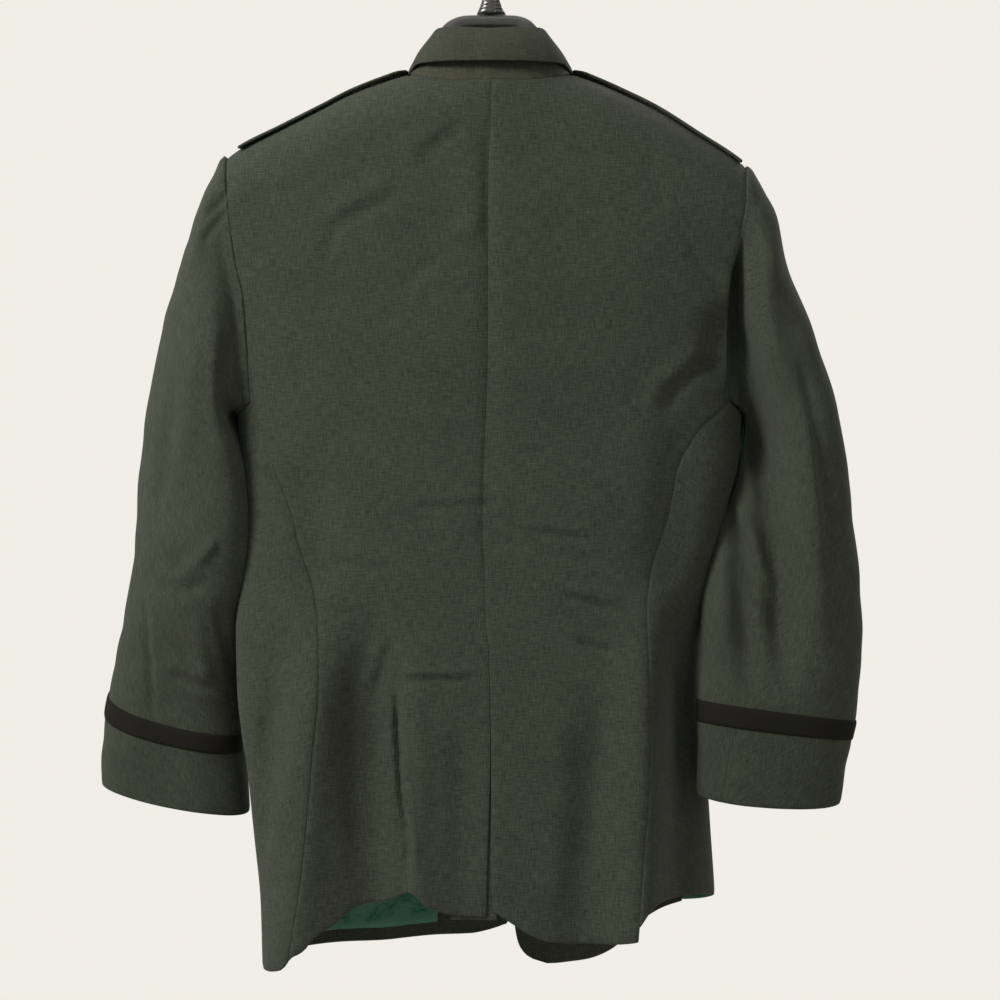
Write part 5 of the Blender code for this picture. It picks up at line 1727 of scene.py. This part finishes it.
@dataclass
class Button:
    """Plain domed brass button with a rolled rim, turned from its profile.

    Attributes:
        name: Object name.
        node: CAD node that it stands for.
        radius: Outer radius.
        steps: Faces round it.
        profile: Reach and height of its turned profile, as shares of the radius.
    """

    name: str
    node: str
    radius: float
    steps: int = 56
    profile: Table = (
        (0.0, -0.22), (0.86, -0.22), (0.97, -0.16), (1.0, -0.08), (0.985, -0.01), (0.94, 0.025),
        (0.885, 0.02), (0.85, -0.005), (0.80, 0.02), (0.70, 0.075), (0.55, 0.13), (0.38, 0.175),
        (0.2, 0.20), (0.0, 0.21),
    )

    def build(self, seat: Sequence[float], turn: Sequence[float], finishes: "Finishes") -> None:
        """Build the button at its seat.

        Args:
            seat: Middle of its solid.
            turn: Euler angles that carry +Z to the button's outward axis.
            finishes: The coat's finishes.
        """
        rows = [Vector((r * self.radius, 0.0, h * self.radius)) for r, h in self.profile]
        work = bmesh.new()
        rings = []
        for row in rows:
            if row.x < 1e-9:
                rings.append([work.verts.new(row)])
                continue
            ring = []
            for k in range(self.steps):
                angle = 2 * math.pi * k / self.steps
                across = row.x * math.cos(angle)
                ring.append(work.verts.new((across, row.x * math.sin(angle), row.z)))
            rings.append(ring)
        for a, b in zip(rings, rings[1:]):
            for k in range(self.steps):
                j = (k + 1) % self.steps
                corners = [a[k % len(a)], b[k % len(b)], b[j % len(b)], a[j % len(a)]]
                unique = list(dict.fromkeys(corners))
                work.faces.new(unique)
        piece = smooth_object(self.name, work, finishes.brass)
        piece.location = [float(v) for v in seat]
        piece.rotation_euler = turn
        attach(piece, "root")
        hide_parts(self.node)
        log.info("%s on %s", self.name, self.node)


@dataclass
class Hanger:
    """Moulded hanger: broad arms, a saddle at the neck, and a hook with a ribbed foot.

    Attributes:
        clear: Gap between the arms and the cloth on them.
        sides: Points round an arm.
        stations: Reach and height of the saddle's upper line (mm).
        foot: Lean, height, half width and half depth of the hook's foot (mm).
        hook_radius: Radius of the hook's own line (mm).
        wire: Half thickness of the hook (mm).
    """

    clear: float = 0.0007
    sides: int = 28
    stations: Table = (
        (0.0, -71.2), (23.0, -71.7), (31.0, -73.2), (37.0, -75.6), (42.5, -79.3), (46.8, -84.5),
        (48.5, -97.0), (50.0, -109.0), (53.0, -121.0), (60.0, -130.0), (77.0, -133.0),
    )
    foot: Table = (
        (-1.0, -70.8, 14.0, 8.0), (-1.0, -67.0, 12.6, 7.5), (-1.0, -63.5, 11.0, 7.0),
        (-0.9, -60.0, 9.8, 6.5), (-0.8, -56.5, 8.7, 6.0), (-0.7, -53.0, 7.5, 5.5),
        (-0.6, -49.5, 6.4, 5.0), (0.0, -46.0, 5.3, 4.5), (0.4, -43.5, 4.6, 4.2),
    )
    hook_radius: float = 22.0
    wire: float = 4.0

    def mesh_tubes(self, name: str, bodies: Sequence[Array], material: bpy.types.Material,
                   nodes: Sequence[str]) -> None:
        """Join rings of points to closed moulded bodies in one object.

        Args:
            name: Object name.
            bodies: Rings of points of each body.
            material: Its finish.
            nodes: CAD nodes that it stands for.
        """
        work = bmesh.new()
        for loops in bodies:
            rings = [[work.verts.new(point) for point in loop] for loop in loops]
            count = len(rings[0])
            for a, b in zip(rings, rings[1:]):
                for k in range(count):
                    j = (k + 1) % count
                    work.faces.new((a[k], b[k], b[j], a[j]))
            for ring in (rings[0], rings[-1]):
                middle = work.verts.new(sum((v.co for v in ring), Vector()) / count)
                for k in range(count):
                    work.faces.new((ring[k], ring[(k + 1) % count], middle))
        piece = smooth_object(name, work, material)
        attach(piece, "root")
        if nodes:
            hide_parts(*nodes)
        log.info("%s: %d faces", name, len(piece.data.polygons))

    def build_arms(self, finishes: "Finishes") -> None:
        """Arms under the shoulders and the saddle at the neck.

        Args:
            finishes: The coat's finishes.
        """
        half = np.concatenate([np.linspace(0, 0.040, 12)[:-1], np.linspace(0.040, 0.052, 10)[:-1],
                               np.linspace(0.052, 0.084, 12)[:-1], np.linspace(0.084, 0.212, 26)])
        x = np.concatenate([-half[:0:-1], half])
        reach = np.abs(x)
        share = reach / reach.max()
        arm = FORM.shoulder_height(x) - FORM.wall - self.clear
        saddle = smooth(column(self.stations, 0), column(self.stations, 1), reach)
        top = np.where(reach < 0.080, saddle, arm)
        tall = 0.0075 + 0.0035 * share
        deep = 0.0100 + 0.0130 * share ** 1.5
        end = np.clip((reach.max() - reach) / 0.010, 0, 1)
        rounding = np.sqrt(1 - (1 - end) ** 2) * 0.75 + 0.25
        slope = np.gradient(top, x)
        turn = np.linspace(0, 2 * math.pi, self.sides, endpoint=False)
        cosine = np.cos(turn)
        sine = np.sin(turn)
        profile_up = np.sign(cosine) * np.abs(cosine) ** 0.8
        profile_deep = np.sign(sine) * np.abs(sine) ** 0.8
        loops = []
        for k in range(len(x)):
            lean = np.array([-slope[k], 1.0]) / math.hypot(slope[k], 1.0)
            centre = np.array([x[k], top[k]]) - lean * tall[k]
            flat = centre + lean[None] * (tall[k] * rounding[k] * profile_up)[:, None]
            depth = deep[k] * rounding[k] * profile_deep
            loops.append(np.stack([flat[:, 0], depth, flat[:, 1]], -1))
        self.mesh_tubes("hanger_arms", [np.array(loops)], finishes.plastic, ["hanger"])

    def build_hook(self, finishes: "Finishes") -> None:
        """Hook turned over the rail, with a tapered foot, a smooth middle rib and side teeth.

        Args:
            finishes: The coat's finishes.
        """
        rings = list(self.foot)
        radius = self.hook_radius
        for degrees in range(-68, 196, 6):
            angle = math.radians(degrees)
            width = self.wire if degrees < 184 else self.wire * 0.92
            height = self.wire - radius + radius * math.sin(angle)
            rings.append((radius * math.cos(angle), height, width, width))
        rings.append((rings[-1][0] - 0.6, rings[-1][1] - 2.2, 2.4, 2.4))
        path = np.array([(row[0], row[1]) for row in rings]) * MM
        turn = np.linspace(0, 2 * math.pi, 24, endpoint=False)
        loops = []
        for k, row in enumerate(rings):
            ahead = path[min(k + 1, len(path) - 1)] - path[max(k - 1, 0)]
            ahead = np.array([0.0, 1.0]) if k == 0 else ahead / np.linalg.norm(ahead)
            across = np.array([ahead[1], -ahead[0]])
            flat = path[k] + across[None] * (row[2] * MM * np.cos(turn))[:, None]
            loops.append(np.stack([flat[:, 0], row[3] * MM * np.sin(turn), flat[:, 1]], -1))
        self.mesh_tubes("hook_with_foot", [np.array(loops)], finishes.plastic, ["hanger_hook"])
        teeth = [self.tooth(side, facing, (-68.6 + 3.5 * k) * MM, (13.0 - 1.15 * k) * MM)
                 for side in (1, -1) for facing in (1, -1) for k in range(6)]
        self.mesh_tubes("hook_teeth", teeth, finishes.plastic, [])

    def tooth(self, side: int, facing: int, z: float, width: float) -> Array:
        """Rings of one short cross tooth on the hook's foot.

        Args:
            side: Sign of X.
            facing: Sign of Y.
            z: Height of the tooth.
            width: Half width of the foot there.

        Returns:
            Rings of points.
        """
        start = 0.0036
        end = max(width * 0.86, start + 0.0012)
        loops = []
        for share in np.linspace(0, 1, 6):
            reach = start + (end - start) * share
            bow = math.sqrt(max(1 - (reach / (width * 1.02)) ** 2, 0.02))
            y = facing * (width * 0.55 * bow + 0.0004)
            turn = np.linspace(0, 2 * math.pi, 8, endpoint=False)
            loops.append(np.stack([np.full(8, -0.001 + side * reach), y + 0.0010 * np.sin(turn),
                                   z + 0.0009 * np.cos(turn)], -1))
        return np.array(loops)


class Network:
    """Small helper that adds nodes to a material and links them."""

    def __init__(self, name: str) -> None:
        """Start a material.

        Args:
            name: Name of the material.
        """
        self.material = bpy.data.materials.new(name)
        self.material.use_nodes = True
        self.tree = self.material.node_tree
        self.shader = self.tree.nodes["Principled BSDF"]

    def add(self, kind: str, **settings: object) -> bpy.types.Node:
        """Add a node.

        Args:
            kind: Type of the node.
            settings: Its properties, or its inputs by name with spaces as underscores.

        Returns:
            The new node.
        """
        node = self.tree.nodes.new(kind)
        for key, value in settings.items():
            if hasattr(node, key):
                setattr(node, key, value)
            else:
                node.inputs[key.replace("_", " ")].default_value = value
        return node

    def link(self, source: Socket, target: Socket) -> None:
        """Link an output to an input."""
        self.tree.links.new(source, target)

    def math(self, kind: str, first: object, second: object, clamp: bool = False) -> Socket:
        """Output of a Math node whose inputs are sockets or numbers.

        Args:
            kind: The operation.
            first: First input.
            second: Second input.
            clamp: Whether the output stays from 0 to 1.

        Returns:
            The output.
        """
        node = self.tree.nodes.new("ShaderNodeMath")
        node.operation = kind
        node.use_clamp = clamp
        self.fill(zip(node.inputs, (first, second)))
        return node.outputs[0]

    def fill(self, pairs: Iterable[tuple[Socket, object]]) -> None:
        """Give each input its socket or its value.

        Args:
            pairs: Inputs, each with what it takes.
        """
        for target, value in pairs:
            if isinstance(value, Socket):
                self.link(value, target)
            else:
                target.default_value = value

    def weigh(self, *terms: tuple[Socket, float], add: float = 0.0) -> Socket:
        """Sum of outputs, each times its own weight, and of a constant.

        Args:
            terms: Outputs and their weights.
            add: The constant.

        Returns:
            The sum.
        """
        total = add
        for source, weight in reversed(terms):
            total = self.math("ADD", self.math("MULTIPLY", source, weight), total)
        return total

    def finish(self, **inputs: object) -> bpy.types.Material:
        """The material, with the shader's inputs set by name with spaces as underscores.

        Args:
            inputs: Values or outputs.

        Returns:
            The material.
        """
        for key, value in inputs.items():
            self.fill([(self.shader.inputs[key.replace("_", " ")], value)])
        return self.material

    def mix(self, share: object, first: object, second: object, kind: str = "MIX") -> Socket:
        """Output of a colour Mix node whose inputs are sockets or values.

        Args:
            share: How much of the second.
            first: First colour.
            second: Second colour.
            kind: How they mix.

        Returns:
            The colour.
        """
        node = self.tree.nodes.new("ShaderNodeMix")
        node.data_type = "RGBA"
        node.blend_type = kind
        targets = (node.inputs[0], node.inputs[6], node.inputs[7])
        self.fill(zip(targets, (share, first, second)))
        return node.outputs[2]

    def noise(self, where: Socket, scale: float, detail: float = 2.0,
              roughness: float = 0.5) -> Socket:
        """Output of a noise texture, from 0 to 1.

        Args:
            where: Coordinates.
            scale: Its scale.
            detail: Its detail.
            roughness: Its roughness.

        Returns:
            The output.
        """
        node = self.add("ShaderNodeTexNoise", Scale=scale, Detail=detail, Roughness=roughness)
        self.link(where, node.inputs["Vector"])
        return node.outputs["Fac"]

    def bump(self, height: Socket, distance: float, strength: float = 1.0,
             before: Optional[Socket] = None) -> Socket:
        """Normal output of a Bump node, on top of another where one is given.

        Args:
            height: The height.
            distance: Metres for a height of 1.
            strength: Its strength.
            before: Normal under it.

        Returns:
            The normal.
        """
        node = self.add("ShaderNodeBump", Strength=strength, Distance=distance)
        self.link(height, node.inputs["Height"])
        if before is not None:
            self.link(before, node.inputs["Normal"])
        return node.outputs["Normal"]


def shade(red: float, green: float, blue: float) -> Colour:
    """Linear colour from sRGB values of 0 to 255.

    Args:
        red: Red, 0 to 255.
        green: Green, 0 to 255.
        blue: Blue, 0 to 255.

    Returns:
        The colour, with an alpha of 1.
    """
    result = []
    for value in (red, green, blue):
        value /= 255
        result.append(value / 12.92 if value <= 0.04045 else ((value + 0.055) / 1.055) ** 2.4)
    return (*result, 1.0)


@dataclass(frozen=True)
class WovenFinish:
    """Plain weave in two yarn shades, with slubs, mottling and large cool and warm places.

    Attributes:
        name: Material name.
        dark: Shade of the deep yarn.
        light: Shade of the light yarn.
        cool: Tint of the bluish places.
        warm: Tint of the olive places.
        pitch: Width of one yarn in metres.
        relief: Depth of the weave in metres.
        roughness: Roughness of the cloth.
        sheen: Weight of the nap's sheen.
    """

    name: str
    dark: Colour
    light: Colour
    cool: Colour
    warm: Colour
    pitch: float = 0.00062
    relief: float = 0.00012
    roughness: float = 0.92
    sheen: float = 0.03

    def material(self) -> bpy.types.Material:
        """Build the material.

        Returns:
            The material.
        """
        net = Network(self.name)
        cloth = net.add("ShaderNodeUVMap", uv_map="cloth_metres").outputs["UV"]
        solid = net.add("ShaderNodeTexCoord").outputs["Object"]
        parts = net.add("ShaderNodeSeparateXYZ")
        net.link(cloth, parts.inputs[0])
        pace = 2 * math.pi / (2 * self.pitch)
        wobble = net.math("MULTIPLY", net.math("SUBTRACT", net.noise(cloth, 260.0, 1.0), 0.5), 1.6)
        warp, weft = (
            net.math("SINE", net.math("ADD", net.math("MULTIPLY", run, pace), wobble), 0.0)
            for run in parts.outputs[:2])
        over = net.math("MULTIPLY", warp, weft)
        woven = net.weigh((over, 0.5), add=0.5)
        slub_u = net.add("ShaderNodeMapping", Scale=(1000.0, 85.0, 1.0))
        net.link(cloth, slub_u.inputs["Vector"])
        slub_v = net.add("ShaderNodeMapping", Scale=(85.0, 1000.0, 1.0))
        net.link(cloth, slub_v.inputs["Vector"])
        yarn = net.math("MULTIPLY", net.math("ADD", net.noise(slub_u.outputs[0], 1.0, 1.0),
                                             net.noise(slub_v.outputs[0], 1.0, 1.0)), 0.5)
        heather = net.noise(solid, 520.0, 3.0, 0.7)
        mottle = net.noise(solid, 26.0, 3.0, 0.55)
        large = net.noise(solid, 5.5, 2.0, 0.5)
        clouded = net.math("SUBTRACT", mottle, 0.5)
        share = net.weigh((woven, 0.30), (yarn, 0.90), (heather, 0.35), (clouded, 0.12))
        share = net.math("MULTIPLY", net.math("SUBTRACT", share, 0.60), 1.9, clamp=True)
        colour = net.mix(share, self.dark, self.light)
        tint_share = net.add("ShaderNodeMapRange", From_Min=0.36, From_Max=0.64)
        net.link(large, tint_share.inputs["Value"])
        tint = net.mix(tint_share.outputs[0], self.cool, self.warm)
        colour = net.mix(0.30, colour, tint, "SOFT_LIGHT")
        uneven = net.math("MULTIPLY", mottle, 0.10)
        rough = net.math("ADD", uneven, self.roughness - 0.05, clamp=True)
        weave = net.bump(woven, self.relief, 0.8)
        nap = net.bump(heather, self.relief * 0.8, 0.5, weave)
        soft = net.bump(mottle, 0.0010, 0.35, nap)
        return net.finish(Base_Color=colour, Roughness=rough, Normal=soft, Sheen_Weight=self.sheen,
                          Specular_IOR_Level=0.06, Sheen_Roughness=0.55)


@dataclass(frozen=True)
class BraidFinish:
    """Flat black mohair braid with a fine herringbone."""

    name: str = "mohair_braid"
    colour: Colour = (0.0044, 0.0043, 0.0034, 1.0)
    light: Colour = (0.0100, 0.0098, 0.0078, 1.0)

    def material(self) -> bpy.types.Material:
        """Build the material.

        Returns:
            The material.
        """
        net = Network(self.name)
        cloth = net.add("ShaderNodeUVMap", uv_map="cloth_metres").outputs["UV"]
        parts = net.add("ShaderNodeSeparateXYZ")
        net.link(cloth, parts.inputs[0])
        folded = net.math("PINGPONG", parts.outputs[1], 0.0012)
        slant = net.math("ADD", parts.outputs[0], folded)
        ridge = net.math("SINE", net.math("MULTIPLY", slant, 2 * math.pi / 0.0013), 0.0)
        ridge = net.weigh((ridge, 0.5), add=0.5)
        fuzz = net.noise(cloth, 1400.0, 2.0)
        share = net.weigh((ridge, 0.5), (fuzz, 0.5))
        base = net.bump(ridge, 0.00025, 0.9)
        return net.finish(Base_Color=net.mix(share, self.colour, self.light),
                          Roughness=net.weigh((fuzz, 0.2), add=0.62),
                          Normal=net.bump(fuzz, 0.0001, 0.5, base), Specular_IOR_Level=0.03)


@dataclass(frozen=True)
class SatinFinish:
    """Green lining satin: yarn-tone streaks along its floats, painted sheen and painted shade on
    its wrinkles.
    """

    name: str = "lining_satin"
    # Deep green is the satin's own tone; the bright green is that tone as painted sheen.
    deep: Colour = shade(11, 52, 37)
    bright: Colour = shade(22, 82, 59)

    def material(self) -> bpy.types.Material:
        """Build the material.

        Returns:
            The material.
        """
        net = Network(self.name)
        solid = net.add("ShaderNodeTexCoord").outputs["Object"]
        cloth = net.add("ShaderNodeUVMap", uv_map="cloth_metres").outputs["UV"]
        stretch = net.add("ShaderNodeMapping", Scale=(2400.0, 160.0, 1.0))
        net.link(cloth, stretch.inputs["Vector"])
        floats = net.noise(stretch.outputs[0], 1.0, 2.0)
        wrinkle = net.noise(solid, 55.0, 3.0, 0.6)
        # The floats mix in streaks of yarn tone, the wrinkles painted sheen on their tops and
        # painted shade in their hollows.
        share = net.weigh((floats, 0.5), (wrinkle, 0.5))
        base = net.bump(wrinkle, 0.0035, 0.7)
        return net.finish(Base_Color=net.mix(share, self.deep, self.bright),
                          Roughness=net.weigh((wrinkle, 0.16), add=0.30),
                          Normal=net.bump(floats, 0.00006, 0.6, base), Sheen_Weight=0.06,
                          Specular_IOR_Level=0.28, Sheen_Roughness=0.35)


@dataclass(frozen=True)
class PlasticFinish:
    """Gloss black moulded plastic with fine scuffs."""

    name: str = "hanger_gloss_plastic"
    colour: Colour = (0.010, 0.010, 0.011, 1.0)
    scuffed: Colour = (0.030, 0.030, 0.031, 1.0)

    def material(self) -> bpy.types.Material:
        """Build the material.

        Returns:
            The material.
        """
        net = Network(self.name)
        solid = net.add("ShaderNodeTexCoord").outputs["Object"]
        stretch = net.add("ShaderNodeMapping", Scale=(40.0, 700.0, 500.0))
        net.link(solid, stretch.inputs["Vector"])
        scuff = net.noise(stretch.outputs[0], 1.0, 3.0, 0.7)
        cloud = net.noise(solid, 90.0, 3.0)
        share = net.math("MULTIPLY", scuff, cloud)
        return net.finish(Base_Color=net.mix(share, self.colour, self.scuffed),
                          Roughness=net.weigh((share, 0.5), add=0.16),
                          Normal=net.bump(cloud, 0.0004, 0.25))


@dataclass(frozen=True)
class BrassFinish:
    """Plain polished brass with a little tarnish in cloudy patches."""

    name: str = "button_polished_brass"
    bright: Colour = (0.68, 0.49, 0.19, 1.0)
    dull: Colour = (0.36, 0.24, 0.09, 1.0)

    def material(self) -> bpy.types.Material:
        """Build the material.

        Returns:
            The material.
        """
        net = Network(self.name)
        solid = net.add("ShaderNodeTexCoord").outputs["Object"]
        cloud = net.noise(solid, 260.0, 4.0, 0.6)
        scratch = net.noise(solid, 1800.0, 2.0, 0.7)
        return net.finish(Base_Color=net.mix(cloud, self.bright, self.dull),
                          Roughness=net.weigh((cloud, 0.30), add=0.12),
                          Normal=net.bump(scratch, 0.00006, 0.4), Metallic=1.0)


class Finishes:
    """All finishes of the coat and its hanger."""

    def __init__(self) -> None:
        """Build every material once."""
        cool = shade(121, 131, 128)
        warm = shade(131, 129, 119)
        self.wool = WovenFinish(
            "coat_wool", shade(30, 33, 27), shade(60, 64, 54), cool, warm).material()
        # The collar's wool is the coat's wool with its light yarn painted darker: painted shade.
        self.collar_wool_painted_shade = WovenFinish(
            "collar_wool_painted_shade", shade(31, 33, 27), shade(56, 59, 50), cool, warm).material()
        self.under_wool = WovenFinish(
            "under_collar_wool_painted_shade", shade(34, 35, 28), shade(64, 65, 54), cool, warm,
            relief=0.00016).material()
        self.braid = BraidFinish().material()
        self.satin = SatinFinish().material()
        self.plastic = PlasticFinish().material()
        self.brass = BrassFinish().material()


@dataclass
class Studio:
    """Pale floor, soft lights and the photograph's camera.

    Attributes:
        distance: From the camera to the plane of the coat's back.
        scale: Metres for each pixel at that plane.
        plane: Y of that plane.
        centre: X and Z of the picture's middle.
        floor_level: Height of the floor.
    """

    distance: float = 2.5
    scale: float = 0.00094
    plane: float = 0.05
    centre: tuple[float, float] = (-0.0094, -0.5359)
    floor_level: float = -1.35

    def build(self) -> None:
        """Build the floor, the world, the lights and the camera."""
        self.build_floor()
        self.build_world()
        self.area("key", (2.1, 1.45, 0.95), 0.9, 170.0, (1.0, 0.985, 0.95))
        self.area("fill", (-2.0, 1.9, 0.0), 2.2, 10.0, (0.97, 0.985, 1.0))
        self.area("top", (0.0, 0.6, 1.9), 1.6, 8.0, (1.0, 1.0, 1.0))
        self.area("front", (-1.8, -2.4, 1.6), 1.6, 60.0, (1.0, 0.99, 0.97))
        self.build_camera()

    def build_floor(self) -> None:
        """Plain pale floor well under the coat."""
        mesh = bpy.data.meshes.new("floor")
        size = 1.6
        corners = [(-size, -size, 0), (size, -size, 0), (size, size, 0), (-size, size, 0)]
        mesh.from_pydata(corners, [], [(0, 1, 2, 3)])
        net = Network("pale_floor")
        solid = net.add("ShaderNodeTexCoord").outputs["Object"]
        cloud = net.noise(solid, 3.0, 3.0)
        pale = net.mix(cloud, shade(176, 174, 167), shade(184, 182, 176))
        mesh.materials.append(net.finish(Base_Color=pale, Roughness=0.9))
        floor = add_object("floor", mesh)
        floor.location = (0.0, 0.0, self.floor_level)

    def build_world(self) -> None:
        """Pale surroundings."""
        world = bpy.data.worlds.new("studio")
        world.use_nodes = True
        background = world.node_tree.nodes["Background"]
        background.inputs["Color"].default_value = shade(240, 238, 230)
        background.inputs["Strength"].default_value = 1.0
        bpy.context.scene.world = world
        bpy.context.scene.view_settings.view_transform = "Standard"

    def area(self, name: str, where: Sequence[float], size: float, power: float,
             colour: tuple[float, float, float]) -> None:
        """Add a soft square light aimed at the coat.

        Args:
            name: Light name.
            where: Its place.
            size: Side of the square.
            power: Watts.
            colour: Its colour.
        """
        data = bpy.data.lights.new(name, "AREA")
        data.shape = "SQUARE"
        data.size = size
        data.energy = power
        data.color = colour
        light = add_object(name, data)
        light.location = where
        aim = Vector((0.0, 0.0, -0.5)) - Vector(where)
        light.rotation_euler = aim.to_track_quat("-Z", "Y").to_euler()

    def build_camera(self) -> None:
        """Camera level with the middle of the photograph, looking at the back."""
        data = bpy.data.cameras.new("photo_camera")
        data.sensor_width = 36.0
        data.lens = 36.0 * self.distance / (1000 * self.scale)
        camera = add_object("photo_camera", data)
        camera.location = (self.centre[0], self.plane + self.distance, self.centre[1])
        camera.rotation_euler = (math.radians(90), 0.0, math.radians(180))
        bpy.context.scene.camera = camera


def main() -> None:
    """Build the camera, the hanger, the coat's cloth and its trim."""
    logging.basicConfig(level=logging.INFO, format="%(message)s")
    Studio().build()
    finishes = Finishes()
    hanger = Hanger()
    hanger.build_arms(finishes)
    hanger.build_hook(finishes)
    for side in Side:
        body = Body(side)
        body.build(finishes)
        FrontTrim(body).build(finishes)
        Sleeve(side).build(finishes)
        ShoulderLoop(side).build(finishes)
    Collar().build(finishes)
    for number in range(1, 5):
        low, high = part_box(f"front_button_{number}")
        seat = [(a + b) / 2 for a, b in zip(low, high)]
        Button(f"front_button_cap_{number}", f"front_button_{number}", 0.0125).build(
            seat, (math.pi / 2, 0.0, 0.0), finishes)


if __name__ == "__main__":
    main()
